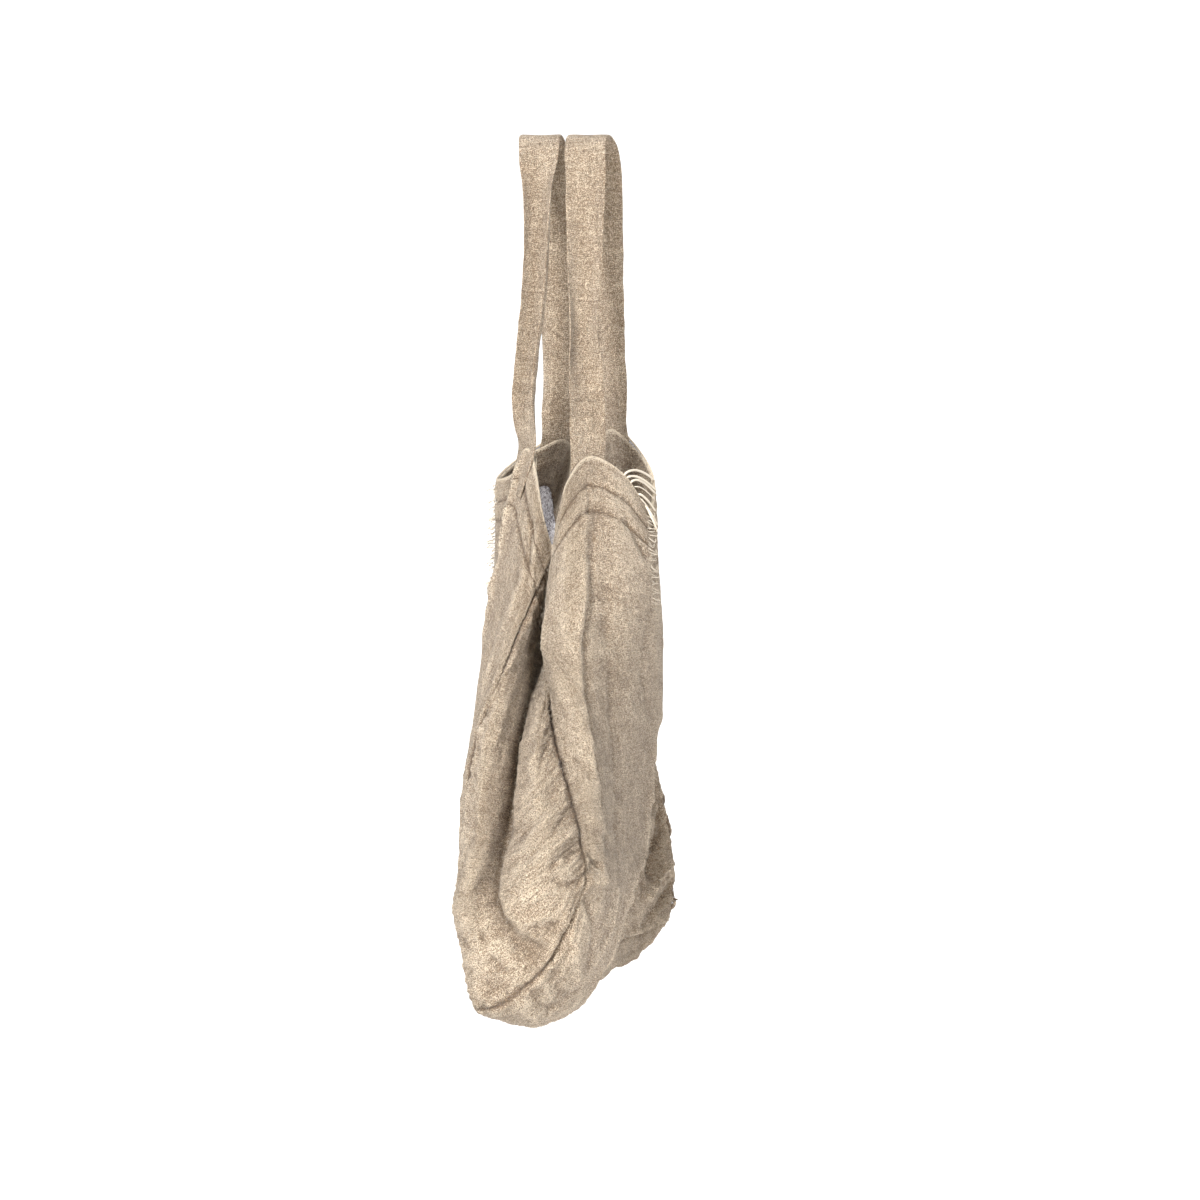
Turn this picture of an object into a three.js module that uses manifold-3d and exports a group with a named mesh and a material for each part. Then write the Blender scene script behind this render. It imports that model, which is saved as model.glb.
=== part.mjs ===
// A linen shopping bag hanging by its two handles. Millimetres, +Z up.
// The origin is on the line where both handles lie on the thing they hang from,
// +X runs along that line and +Y across the width of the two panels.
// The body is one long strip of cloth: left panel, base and right panel. A gusset is sewn
// into each end of it, the mouth is faced, and each handle is sewn in behind the rim.

import * as THREE from "three";
import Module from "manifold-3d";
import { mergeVertices } from "three/addons/utils/BufferGeometryUtils.js";

const wasm = await Module();
wasm.setup();

// Cut sizes of the cloth
const PANEL_WIDTH = 350;
const PANEL_HEIGHT = 380;
const GUSSET_DEPTH = 128;
const CLOTH_THICKNESS = 0.9;
const FACING_DEPTH = 36;
const FACING_THICKNESS = 0.8;
const FACING_END_SETBACK = 10;

// Handles
const HANDLE_DROP = 240;
const STRAP_WIDTH = 32;
const STRAP_THICKNESS = 2;
const STRAP_SPACING = 140;
const STRAP_TUCK = 28;
const TUCK_THICKNESS = 1.4;
const CROWN_GAP = 4.6;
const HANGING_RADIUS = 19;

// Frayed bands and sewing thread
const FRAY_WIDTH = 15;
const FRAY_TOP = 4;
const FRAY_LENGTH = 92;
const FRAY_THREADS = 11;
const FRAY_THREAD = 1.2;
const HEM_STITCH_DEPTH = 19;
const STITCH_THREAD = 0.8;

// Play between pieces that touch, and between two cloths at their seam
const CLEARANCE = 0.35;
const SEAM_PLAY = 1.2;

// Mesh steps
const PANEL_STEPS = 11;
const GUSSET_STEPS = 8;
const ARC_STEPS = 10;
const DROP_STEPS = 8;

const LINEN = { color: 0xab9679, roughness: 0.95, metalness: 0 };
const LINEN_SHADE = { color: 0x94805f, roughness: 0.95, metalness: 0 };
const CREAM_THREAD = { color: 0xebe1d2, roughness: 0.9, metalness: 0 };
const SEWING_THREAD = { color: 0x77654c, roughness: 0.9, metalness: 0 };

// The hung form. Each point is [x, y, z] in thousandths of the gusset depth, of the panel
// width and of the panel height, and z counts from the level of the rim at the handles.
// A row runs over the width of the strip, from the near seam to the far seam. The rows go
// from the rim down the left panel, under the base and up the right panel to the rim.
const STRIP_FORM = [
  [[72, -183, -201], [45, -189, -167], [8, -189, -121], [-47, -171, -50],
    [-125, -131, 6], [-272, -69, -50], [-428, 6, -66], [-344, 63, -30],
    [-100, 111, 20], [-63, 177, -42], [-88, 166, -173]],
  [[-126, -309, -406], [-165, -297, -389], [-222, -263, -379], [-323, -177, -355],
    [-403, -80, -318], [-462, 6, -312], [-518, 97, -317], [-557, 183, -308],
    [-558, 263, -269], [-496, 354, -298], [-287, 337, -367]],
  [[-306, -331, -566], [-360, -286, -566], [-401, -240, -566], [-470, -143, -564],
    [-532, -46, -564], [-586, 40, -567], [-639, 126, -574], [-685, 211, -576],
    [-711, 297, -569], [-654, 406, -572], [-398, 417, -597]],
  [[-368, -349, -727], [-416, -303, -734], [-452, -257, -741], [-518, -157, -762],
    [-564, -57, -784], [-605, 37, -802], [-639, 131, -816], [-670, 223, -821],
    [-687, 314, -821], [-624, 434, -811], [-386, 474, -796]],
  [[-371, -371, -931], [-387, -320, -954], [-402, -269, -973], [-419, -166, -1001],
    [-435, -63, -1023], [-444, 34, -1040], [-459, 131, -1052], [-473, 229, -1060],
    [-475, 320, -1058], [-412, 434, -1041], [-258, 480, -993]],
  [[-246, -400, -1096], [-234, -360, -1112], [-226, -314, -1128], [-202, -223, -1153],
    [-161, -126, -1172], [-131, -29, -1184], [-124, 69, -1191], [-129, 166, -1194],
    [-128, 257, -1194], [-58, 383, -1158], [11, 457, -1144]],
  [[186, -423, -1001], [228, -389, -1038], [244, -343, -1066], [255, -246, -1096],
    [252, -143, -1106], [223, -46, -1108], [188, 51, -1109], [141, 149, -1105],
    [79, 240, -1101], [156, 377, -1097], [258, 463, -1097]],
  [[396, -394, -834], [446, -371, -845], [474, -331, -859], [469, -234, -885],
    [455, -131, -899], [441, -34, -898], [412, 57, -896], [333, 149, -911],
    [143, 240, -950], [280, 389, -1002], [410, 451, -1005]],
  [[382, -383, -752], [434, -371, -741], [471, -337, -742], [479, -240, -760],
    [484, -137, -777], [491, -34, -794], [471, 63, -817], [372, 166, -842],
    [161, 251, -866], [249, 394, -881], [402, 463, -894]],
  [[281, -360, -645], [378, -360, -632], [431, -331, -627], [446, -246, -626],
    [485, -149, -624], [520, -51, -626], [536, 40, -638], [511, 137, -659],
    [353, 234, -690], [256, 383, -737], [322, 463, -755]],
  [[134, -297, -527], [217, -320, -507], [312, -326, -493], [376, -269, -487],
    [456, -189, -480], [531, -97, -477], [567, 0, -484], [557, 103, -495],
    [456, 211, -517], [248, 354, -557], [200, 429, -592]],
  [[83, -234, -410], [73, -263, -387], [96, -294, -359], [262, -331, -322],
    [384, -280, -294], [541, -189, -306], [627, -74, -322], [592, 29, -322],
    [513, 131, -303], [296, 280, -327], [70, 349, -412]],
  [[91, -131, -189], [92, -194, -164], [129, -229, -117], [174, -206, -52],
    [258, -131, -8], [436, -86, -45], [552, -17, -122], [512, 63, -46],
    [242, 120, 38], [20, 194, -57], [-21, 143, -179]],
];

// The folds of each gusset between its two seams, in the same thousandths. A row runs from
// left to right, without the points on the seams.
const NEAR_FOLDS = [
  [[28, -149, -251], [-29, -120, -289], [-23, -94, -317], [45, -86, -320],
    [105, -109, -272]],
  [[-86, -289, -418], [-73, -240, -439], [-65, -200, -455], [-41, -183, -459],
    [17, -211, -441]],
  [[-210, -377, -571], [-126, -343, -584], [-88, -263, -604], [-39, -320, -590],
    [86, -366, -565]],
  [[-272, -417, -728], [-151, -417, -734], [-95, -337, -749], [-32, -389, -737],
    [165, -434, -688]],
  [[-351, -451, -898], [-201, -480, -885], [-91, -417, -882], [-33, -446, -868],
    [221, -471, -801]],
];
const FAR_FOLDS = [
  [[-71, 114, -217], [-54, 80, -245], [-37, 103, -220]],
  [[-198, 262, -418], [-109, 217, -453], [-19, 268, -440]],
  [[-248, 367, -619], [-99, 337, -631], [50, 373, -616]],
  [[-209, 468, -796], [-32, 463, -792], [145, 462, -775]],
  [[-93, 501, -968], [72, 511, -943], [237, 492, -919]],
];

// Where the rows and the gussets' columns lie, in shares of the panel height from the rim and
// of the gusset depth from the left seam
const ROW_SHARES = [0, 0.26, 0.44, 0.62, 0.83];
const NEAR_SHARES = [0, 0.15, 0.35, 0.5, 0.62, 0.8, 1];
const FAR_SHARES = [0, 0.25, 0.5, 0.75, 1];

const STRIP_LENGTH = 2 * PANEL_HEIGHT + GUSSET_DEPTH;
const STRIP_ROWS = [
  ...ROW_SHARES.map((share) => share * PANEL_HEIGHT),
  PANEL_HEIGHT,
  STRIP_LENGTH / 2,
  PANEL_HEIGHT + GUSSET_DEPTH,
  ...ROW_SHARES.map((share) => STRIP_LENGTH - share * PANEL_HEIGHT).reverse(),
];
const SIDE_PART = (PANEL_WIDTH - STRAP_SPACING) / 2;
const NEAR_STRAP = SIDE_PART;
const FAR_STRAP = SIDE_PART + STRAP_SPACING;
const STRIP_COLUMNS = [
  0,
  SIDE_PART / 6,
  SIDE_PART / 3,
  (2 * SIDE_PART) / 3,
  NEAR_STRAP,
  NEAR_STRAP + STRAP_SPACING / 4,
  PANEL_WIDTH / 2,
  FAR_STRAP - STRAP_SPACING / 4,
  FAR_STRAP,
  FAR_STRAP + SIDE_PART / 2,
  PANEL_WIDTH,
];
const GUSSET_ROWS = [...ROW_SHARES, 1].map((share) => share * PANEL_HEIGHT);

function placed([x, y, z]) {
  return new THREE.Vector3(
    (x / 1000) * GUSSET_DEPTH,
    (y / 1000) * PANEL_WIDTH,
    (z / 1000) * PANEL_HEIGHT - HANDLE_DROP,
  );
}

const STRIP_NET = STRIP_FORM.map((row) => row.map(placed));

// A smooth curve through points at uneven knots: cubic pieces whose slopes are the mean of
// the slopes on either side of each knot.
function smooth(knots, points, t) {
  const last = knots.length - 1;
  let i = 0;
  while (i < last - 1 && t > knots[i + 1]) i += 1;
  const slope = (k) => {
    const a = Math.max(k - 1, 0);
    const b = Math.min(k + 1, last);
    return points[b].clone().sub(points[a]).divideScalar(knots[b] - knots[a]);
  };
  const span = knots[i + 1] - knots[i];
  const u = (t - knots[i]) / span;
  return points[i].clone().multiplyScalar(2 * u ** 3 - 3 * u ** 2 + 1)
    .addScaledVector(slope(i), span * (u ** 3 - 2 * u ** 2 + u))
    .addScaledVector(points[i + 1], 3 * u ** 2 - 2 * u ** 3)
    .addScaledVector(slope(i + 1), span * (u ** 3 - u ** 2));
}

// A point of the strip's outer face: along is measured from the left rim, over the base, to
// the right rim, and across from the near seam to the far seam.
function stripPoint(along, across) {
  const column = STRIP_NET.map((row) => smooth(STRIP_COLUMNS, row, across));
  return smooth(STRIP_ROWS, column, along);
}

// A point of a gusset's outer face: across runs from its left seam to its right seam and
// down from the rim to the base. Its three sewn edges follow the strip's edge exactly.
function gussetSurface(folds, shares, edge) {
  const columns = shares.map((share) => share * GUSSET_DEPTH);
  const seam = (along) => stripPoint(along, edge);
  const net = GUSSET_ROWS.map((down, i) => {
    const left = seam(down);
    const right = seam(STRIP_LENGTH - down);
    if (i < folds.length) return [left, ...folds[i].map(placed), right];
    return columns.map((across) => seam(PANEL_HEIGHT + across));
  });
  const loose = (across, down) =>
    smooth(GUSSET_ROWS, net.map((row) => smooth(columns, row, across)), down);
  return (across, down) => {
    const a = across / GUSSET_DEPTH;
    const d = down / PANEL_HEIGHT;
    const leftOff = (v) => seam(v).sub(loose(0, v));
    const rightOff = (v) => seam(STRIP_LENGTH - v).sub(loose(GUSSET_DEPTH, v));
    const bottomOff = seam(PANEL_HEIGHT + across).sub(loose(across, PANEL_HEIGHT))
      .addScaledVector(leftOff(PANEL_HEIGHT), a - 1)
      .addScaledVector(rightOff(PANEL_HEIGHT), -a);
    return loose(across, down)
      .addScaledVector(leftOff(down), 1 - a)
      .addScaledVector(rightOff(down), a)
      .addScaledVector(bottomOff, d);
  };
}

const nearGussetPoint = gussetSurface(NEAR_FOLDS, NEAR_SHARES, 0);
const farGussetPoint = gussetSurface(FAR_FOLDS, FAR_SHARES, PANEL_WIDTH);

// The outward unit normal of a surface, from points a small step to each side.
function normalOf(surface, p, q, pMax, qMax, sign) {
  const step = 0.5;
  const dp = surface(Math.min(p + step, pMax), q).sub(surface(Math.max(p - step, 0), q));
  const dq = surface(p, Math.min(q + step, qMax)).sub(surface(p, Math.max(q - step, 0)));
  return dp.cross(dq).multiplyScalar(sign).normalize();
}

const stripNormal = (along, across) =>
  normalOf(stripPoint, along, across, STRIP_LENGTH, PANEL_WIDTH, -1);
const nearGussetNormal = (across, down) =>
  normalOf(nearGussetPoint, across, down, GUSSET_DEPTH, PANEL_HEIGHT, -1);
const farGussetNormal = (across, down) =>
  normalOf(farGussetPoint, across, down, GUSSET_DEPTH, PANEL_HEIGHT, 1);

// Where a point of a seam, named by its place along the strip, lies on the gusset.
function onGusset(along) {
  if (along <= PANEL_HEIGHT) return [0, along];
  if (along >= STRIP_LENGTH - PANEL_HEIGHT) return [GUSSET_DEPTH, STRIP_LENGTH - along];
  return [along - PANEL_HEIGHT, PANEL_HEIGHT];
}

// The way inwards at a seam: the mitre between the two cloths, so that neither side's
// thickness reaches past it.
function seamMitre(along, edge) {
  const gussetNormal = edge === 0 ? nearGussetNormal : farGussetNormal;
  const own = stripNormal(along, edge);
  const mitre = own.clone().add(gussetNormal(...onGusset(along))).normalize();
  return mitre.divideScalar(Math.max(mitre.dot(own), 0.6));
}

// Evenly spaced numbers from a to b.
function spread(a, b, steps) {
  return Array.from({ length: steps + 1 }, (_, i) => a + ((b - a) * i) / steps);
}

const inOrder = (numbers) => [...new Set(numbers)].sort((a, b) => a - b);

// Every layer is made on one net of lines, so that sheets that lie on each other stay
// parallel: the lines pass through the edges of all of them.
const HALF_STRAP = STRAP_WIDTH / 2;
const HALF_FRAY = FRAY_WIDTH / 2;
const MIDLINE = PANEL_WIDTH / 2;
const DOWNS = inOrder([
  0, HEM_STITCH_DEPTH, STRAP_TUCK, ...spread(FACING_DEPTH, PANEL_HEIGHT, PANEL_STEPS),
]);
const HALF_ACROSSES = [
  0, FACING_END_SETBACK, SIDE_PART / 5, SIDE_PART / 3, SIDE_PART / 2, (2 * SIDE_PART) / 3,
  NEAR_STRAP - HALF_STRAP, NEAR_STRAP, NEAR_STRAP + HALF_STRAP, NEAR_STRAP + STRAP_SPACING / 4,
  MIDLINE - HALF_FRAY, MIDLINE,
];
const ACROSSES = inOrder([...HALF_ACROSSES, ...HALF_ACROSSES.map((across) => PANEL_WIDTH - across)]);
const GUSSET_ACROSSES = [
  0, ...spread(FACING_END_SETBACK, GUSSET_DEPTH - FACING_END_SETBACK, GUSSET_STEPS), GUSSET_DEPTH,
];
const ALONGS = [
  ...DOWNS,
  ...GUSSET_ACROSSES.slice(1, -1).map((across) => PANEL_HEIGHT + across),
  ...DOWNS.map((down) => STRIP_LENGTH - down).reverse(),
];

// Each crossing of the lines, with its point on the outer face and the way outwards there.
const STRIP_MESH = ALONGS.map((along) => ACROSSES.map((across) => {
  const atSeam = across === 0 || across === PANEL_WIDTH;
  return {
    along,
    across,
    point: stripPoint(along, across),
    out: atSeam ? seamMitre(along, across) : stripNormal(along, across),
  };
}));

function gussetMesh(surface, normal, edge) {
  const outAt = (across, down) => {
    if (across === 0) return seamMitre(down, edge);
    if (across === GUSSET_DEPTH) return seamMitre(STRIP_LENGTH - down, edge);
    if (down === PANEL_HEIGHT) return seamMitre(PANEL_HEIGHT + across, edge);
    return normal(across, down);
  };
  return DOWNS.map((down) => GUSSET_ACROSSES.map((across) => ({
    down,
    across,
    point: surface(across, down),
    out: outAt(across, down),
  })));
}

const NEAR_MESH = gussetMesh(nearGussetPoint, nearGussetNormal, 0);
const FAR_MESH = gussetMesh(farGussetPoint, farGussetNormal, PANEL_WIDTH);

// A geometry from points and triangles, turned over if its faces point inwards.
function facingOut(points, triangles) {
  let volume = 0;
  for (let i = 0; i < triangles.length; i += 3) {
    const [a, b, c] = triangles.slice(i, i + 3).map((k) => points[k]);
    volume += a.dot(b.clone().cross(c));
  }
  const index = volume < 0 ? [...triangles].reverse() : triangles;
  const geometry = new THREE.BufferGeometry().setFromPoints(points);
  geometry.setIndex(index);
  geometry.computeVertexNormals();
  return geometry;
}

// A closed sheet between two grids of points of one size.
function sheetBetween(front, back) {
  const rows = front.length;
  const cols = front[0].length;
  const at = (side, i, j) => (side * rows + i) * cols + j;
  const triangles = [];
  const quad = (a, b, c, d) => triangles.push(a, b, c, a, c, d);
  for (let i = 0; i + 1 < rows; i += 1) {
    for (let j = 0; j + 1 < cols; j += 1) {
      quad(at(0, i, j), at(0, i + 1, j), at(0, i + 1, j + 1), at(0, i, j + 1));
      quad(at(1, i, j), at(1, i, j + 1), at(1, i + 1, j + 1), at(1, i + 1, j));
    }
    quad(at(0, i, 0), at(1, i, 0), at(1, i + 1, 0), at(0, i + 1, 0));
    quad(at(0, i + 1, cols - 1), at(1, i + 1, cols - 1), at(1, i, cols - 1), at(0, i, cols - 1));
  }
  for (let j = 0; j + 1 < cols; j += 1) {
    quad(at(0, 0, j + 1), at(1, 0, j + 1), at(1, 0, j), at(0, 0, j));
    quad(at(0, rows - 1, j), at(1, rows - 1, j), at(1, rows - 1, j + 1), at(0, rows - 1, j + 1));
  }
  return facingOut([...front.flat(), ...back.flat()], triangles);
}

// A sheet on part of a mesh: the crossings that a test keeps, between two depths under the
// outer face. A depth may be a number or a function of the place across.
function layer(mesh, keep, from, to) {
  const kept = mesh.map((row) => row.filter(keep)).filter((row) => row.length > 0);
  const depthAt = (depth, across) => (typeof depth === "function" ? depth(across) : depth);
  const grid = (depth) => kept.map((row) => row.map(({ point, out, across }) =>
    point.clone().addScaledVector(out, -depthAt(depth, across))));
  return sheetBetween(grid(from), grid(to));
}

// The same mesh with its sewn edges drawn back, which leaves the play of a seam.
function drawnBack(mesh, surface, acrossMax, downMax, downKey) {
  const play = SEAM_PLAY / 2;
  return mesh.map((row) => row.map((crossing) => {
    const across = Math.min(Math.max(crossing.across, play), acrossMax - play);
    const down = Math.min(crossing[downKey], downMax);
    return { ...crossing, point: surface(across, down) };
  }));
}

const stripCloth = () => layer(
  drawnBack(STRIP_MESH, (across, along) => stripPoint(along, across), PANEL_WIDTH, STRIP_LENGTH, "along"),
  () => true, 0, CLOTH_THICKNESS);
const gussetCloth = (mesh, surface) => layer(
  drawnBack(mesh, surface, GUSSET_DEPTH, PANEL_HEIGHT - SEAM_PLAY / 2, "down"),
  () => true, 0, CLOTH_THICKNESS);

// Handle ends lie between the cloth and the facing, which stands off a little over them.
const TUCK_FROM = CLOTH_THICKNESS + CLEARANCE;
const TUCK_TO = TUCK_FROM + TUCK_THICKNESS;
const STRAPS = [NEAR_STRAP, FAR_STRAP];
const underStrap = (across, strap) => Math.abs(across - strap) <= HALF_STRAP + 0.001;
const facingFrom = (across) =>
  (STRAPS.some((strap) => underStrap(across, strap)) ? TUCK_TO + CLEARANCE : TUCK_FROM);
const facingTo = (across) => facingFrom(across) + FACING_THICKNESS;
const downOf = (side, along) => (side === "left" ? along : STRIP_LENGTH - along);
const alongOf = downOf;

function panelFacing(side) {
  return layer(STRIP_MESH, ({ along, across }) =>
    downOf(side, along) <= FACING_DEPTH
    && across >= FACING_END_SETBACK
    && across <= PANEL_WIDTH - FACING_END_SETBACK, facingFrom, facingTo);
}

function gussetFacing(mesh) {
  return layer(mesh, ({ down, across }) =>
    down <= FACING_DEPTH && across > 0 && across < GUSSET_DEPTH,
  TUCK_FROM, TUCK_FROM + FACING_THICKNESS);
}

function handleEnd(side, strap) {
  return layer(STRIP_MESH, ({ along, across }) =>
    downOf(side, along) <= STRAP_TUCK && underStrap(across, strap), TUCK_FROM, TUCK_TO);
}

// One handle: a flat strap that rises from the rim, lies over the hanging line as a half
// turn and comes down again. q runs over its width from -1, at the mouth's corner side, to
// 1, at the side where the panel bows out.
function handle(side) {
  const outwards = side === "left" ? -1 : 1;
  const crownCentre = outwards * (CROWN_GAP / 2 + HALF_STRAP);
  const middle = HANGING_RADIUS + STRAP_THICKNESS / 2;
  const rimPoint = (strap, q) => {
    const towardsMiddle = strap === NEAR_STRAP ? 1 : -1;
    const across = strap + towardsMiddle * q * HALF_STRAP;
    const along = alongOf(side, 0);
    return stripPoint(along, across)
      .addScaledVector(stripNormal(along, across), -(TUCK_FROM + TUCK_TO) / 2)
      .add(new THREE.Vector3(0, 0, 2 * CLEARANCE));
  };
  // One thread of the strap, as the points that it follows at a given place over the width.
  const thread = (q) => {
    const x = crownCentre + outwards * q * HALF_STRAP;
    const near = rimPoint(NEAR_STRAP, q);
    const far = rimPoint(FAR_STRAP, q);
    const turn = (end) => {
      const z = end.z + HANGING_RADIUS;
      return [Math.atan2(z, end.y), Math.acos(middle / Math.hypot(end.y, z))];
    };
    const [nearAngle, nearTangent] = turn(near);
    const [farAngle, farTangent] = turn(far);
    const from = nearAngle + 2 * Math.PI - nearTangent;
    const to = farAngle + farTangent;
    const over = spread(from, to, ARC_STEPS).map((angle) =>
      new THREE.Vector3(x, middle * Math.cos(angle), middle * Math.sin(angle) - HANGING_RADIUS));
    const up = spread(0, 1, DROP_STEPS).slice(0, -1).map((t) => near.clone().lerp(over[0], t));
    const down = spread(0, 1, DROP_STEPS).slice(1).map((t) => over.at(-1).clone().lerp(far, t));
    return [...up, ...over, ...down];
  };
  const threads = [-1, 0, 1].map(thread);
  const last = threads[0].length - 1;
  const faceAt = (i) => {
    const across = threads[2][i].clone().sub(threads[0][i]);
    const upright = new THREE.Vector3(0, 0, i === 0 ? 1 : -1);
    const along = i === 0 || i === last ? upright : threads[1][i + 1].clone().sub(threads[1][i - 1]);
    return across.cross(along).normalize();
  };
  const face = (offset) => threads.map((line) =>
    line.map((point, i) => point.clone().addScaledVector(faceAt(i), offset)));
  return sheetBetween(face(-STRAP_THICKNESS / 2), face(STRAP_THICKNESS / 2));
}

// A bar of square section that follows stations, each a point and the way outwards there.
// A closed one joins its last station to its first.
function bar(stations, thickness, closed) {
  const half = thickness / 2;
  const count = stations.length;
  const points = stations.flatMap(({ point, out }, i) => {
    const before = stations[closed ? (i + count - 1) % count : Math.max(i - 1, 0)].point;
    const after = stations[closed ? (i + 1) % count : Math.min(i + 1, count - 1)].point;
    const outwards = out.clone().normalize();
    const aside = outwards.clone().cross(after.clone().sub(before)).normalize();
    return [[-1, -1], [1, -1], [1, 1], [-1, 1]].map(([a, b]) =>
      point.clone().addScaledVector(aside, a * half).addScaledVector(outwards, b * half));
  });
  const triangles = [];
  const spans = closed ? count : count - 1;
  for (let i = 0; i < spans; i += 1) {
    const next = (i + 1) % count;
    for (let k = 0; k < 4; k += 1) {
      const [a, b] = [4 * i + k, 4 * i + ((k + 1) % 4)];
      const [c, d] = [4 * next + ((k + 1) % 4), 4 * next + k];
      triangles.push(a, b, c, a, c, d);
    }
  }
  if (!closed) {
    const end = 4 * (count - 1);
    triangles.push(0, 2, 1, 0, 3, 2, end, end + 1, end + 2, end, end + 2, end + 3);
  }
  return facingOut(points, triangles);
}

// Stations of a bar, lifted so that its underside clears the cloth by a given play.
function lifted(crossings, thickness, play) {
  return crossings.map(({ point, out }) => ({
    out,
    point: point.clone().addScaledVector(out, play + thickness / 2),
  }));
}

// A row of sewing thread round the whole mouth at one depth under the rim.
function stitchRing(depth) {
  const stripRow = (side) => STRIP_MESH.find((row) => row[0].along === alongOf(side, depth));
  const gussetRow = (mesh) => mesh.find((row) => row[0].down === depth).slice(1, -1);
  const round = [
    ...stripRow("right"),
    ...gussetRow(FAR_MESH).reverse(),
    ...[...stripRow("left")].reverse(),
    ...gussetRow(NEAR_MESH),
  ];
  return bar(lifted(round, STITCH_THREAD, CLEARANCE), STITCH_THREAD, true);
}

function solidOf(geometry) {
  const bare = geometry.clone();
  bare.deleteAttribute("normal");
  const merged = mergeVertices(bare, 1e-4);
  return new wasm.Manifold(new wasm.Mesh({
    numProp: 3,
    vertProperties: new Float32Array(merged.attributes.position.array),
    triVerts: new Uint32Array(merged.index.array),
  }));
}

function geometryOf(solid) {
  const mesh = solid.getMesh();
  const geometry = new THREE.BufferGeometry();
  geometry.setAttribute("position", new THREE.BufferAttribute(new Float32Array(mesh.vertProperties), 3));
  geometry.setIndex(new THREE.BufferAttribute(new Uint32Array(mesh.triVerts), 1));
  geometry.computeVertexNormals();
  return geometry;
}

// The frayed band on a panel: bare cross threads between the two edges of a worn slit. They
// lie over the rim's stitching.
function frayedBand(side) {
  const play = 2 * CLEARANCE + STITCH_THREAD;
  const columns = [MIDLINE - HALF_FRAY, MIDLINE, MIDLINE + HALF_FRAY]
    .map((across) => ACROSSES.indexOf(across));
  const crossingAt = (down, column) => {
    const along = alongOf(side, down);
    const i = Math.max(ALONGS.findIndex((line) => line >= along), 1);
    const [a, b] = [STRIP_MESH[i - 1][column], STRIP_MESH[i][column]];
    const t = (along - a.along) / (b.along - a.along);
    const out = a.out.clone().lerp(b.out, t).normalize();
    return { point: a.point.clone().lerp(b.point, t), out };
  };
  const bottom = FRAY_TOP + FRAY_LENGTH;
  const downs = [FRAY_TOP, ...DOWNS.filter((down) => down > FRAY_TOP && down < bottom), bottom];
  const edge = (column) => downs.map((down) => crossingAt(down, column));
  const threadLine = (down) => columns.map((column) => crossingAt(down, column));
  const lines = [
    edge(columns[0]),
    edge(columns[2]),
    ...spread(FRAY_TOP + FRAY_THREAD, bottom - FRAY_THREAD, FRAY_THREADS - 1).map(threadLine),
  ];
  const solids = lines.map((line) => solidOf(bar(lifted(line, FRAY_THREAD, play), FRAY_THREAD, false)));
  return geometryOf(solids.reduce((whole, next) => whole.add(next)));
}

const bag = new THREE.Group();

function addPiece(name, geometry, finish) {
  const mesh = new THREE.Mesh(geometry, new THREE.MeshStandardMaterial(finish));
  mesh.name = name;
  bag.add(mesh);
}

addPiece("body_cloth", stripCloth(), LINEN);
addPiece("near_gusset", gussetCloth(NEAR_MESH, nearGussetPoint), LINEN);
addPiece("far_gusset", gussetCloth(FAR_MESH, farGussetPoint), LINEN);
addPiece("near_gusset_facing", gussetFacing(NEAR_MESH), LINEN_SHADE);
addPiece("far_gusset_facing", gussetFacing(FAR_MESH), LINEN_SHADE);
for (const side of ["left", "right"]) {
  addPiece(`${side}_facing`, panelFacing(side), LINEN_SHADE);
  addPiece(`${side}_handle`, handle(side), LINEN);
  addPiece(`${side}_handle_near_end`, handleEnd(side, NEAR_STRAP), LINEN_SHADE);
  addPiece(`${side}_handle_far_end`, handleEnd(side, FAR_STRAP), LINEN_SHADE);
  addPiece(`${side}_frayed_band`, frayedBand(side), CREAM_THREAD);
}
addPiece("upper_rim_stitching", stitchRing(HEM_STITCH_DEPTH), SEWING_THREAD);
addPiece("lower_rim_stitching", stitchRing(FACING_DEPTH), SEWING_THREAD);

export default bag;
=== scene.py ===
# %% [markdown]
# # A linen shopping bag that hangs by its two straps
# The bag is one long strip of coarse linen that goes down one side, under the base and up the
# other, with a gusset sewn into each end of it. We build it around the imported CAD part, which
# gives the frame, the real sizes and the two straps' joints. Here come the things that the
# solids leave out: crumpled cloth, weave, stitches, folds in the straps and loose threads.

import bpy
import numpy as np
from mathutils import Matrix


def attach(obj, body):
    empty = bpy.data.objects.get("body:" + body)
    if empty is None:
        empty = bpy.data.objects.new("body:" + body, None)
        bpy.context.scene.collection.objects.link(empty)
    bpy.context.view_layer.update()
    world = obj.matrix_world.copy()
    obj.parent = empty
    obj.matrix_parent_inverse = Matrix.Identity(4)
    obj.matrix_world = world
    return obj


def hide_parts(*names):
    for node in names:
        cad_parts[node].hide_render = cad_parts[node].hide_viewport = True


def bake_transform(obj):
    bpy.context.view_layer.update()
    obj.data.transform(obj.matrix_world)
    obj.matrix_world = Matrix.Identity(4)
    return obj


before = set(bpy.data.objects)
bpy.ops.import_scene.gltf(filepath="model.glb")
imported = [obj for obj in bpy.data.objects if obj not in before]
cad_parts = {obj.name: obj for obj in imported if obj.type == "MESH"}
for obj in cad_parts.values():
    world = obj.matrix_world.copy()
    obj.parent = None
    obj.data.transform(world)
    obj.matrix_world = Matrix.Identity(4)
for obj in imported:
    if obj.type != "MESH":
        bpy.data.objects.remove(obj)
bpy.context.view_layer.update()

# %% [markdown]
# ## Cut sizes
# All lengths are in millimetres until a mesh is made. A hung bag is easier to think of as flat
# pieces of cloth that were folded in space than as a box, so every place on it is named by two
# numbers on the flat cloth: `along`, from the left rim over the base to the right rim, and
# `across`, from the seam near us to the far one.

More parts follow.
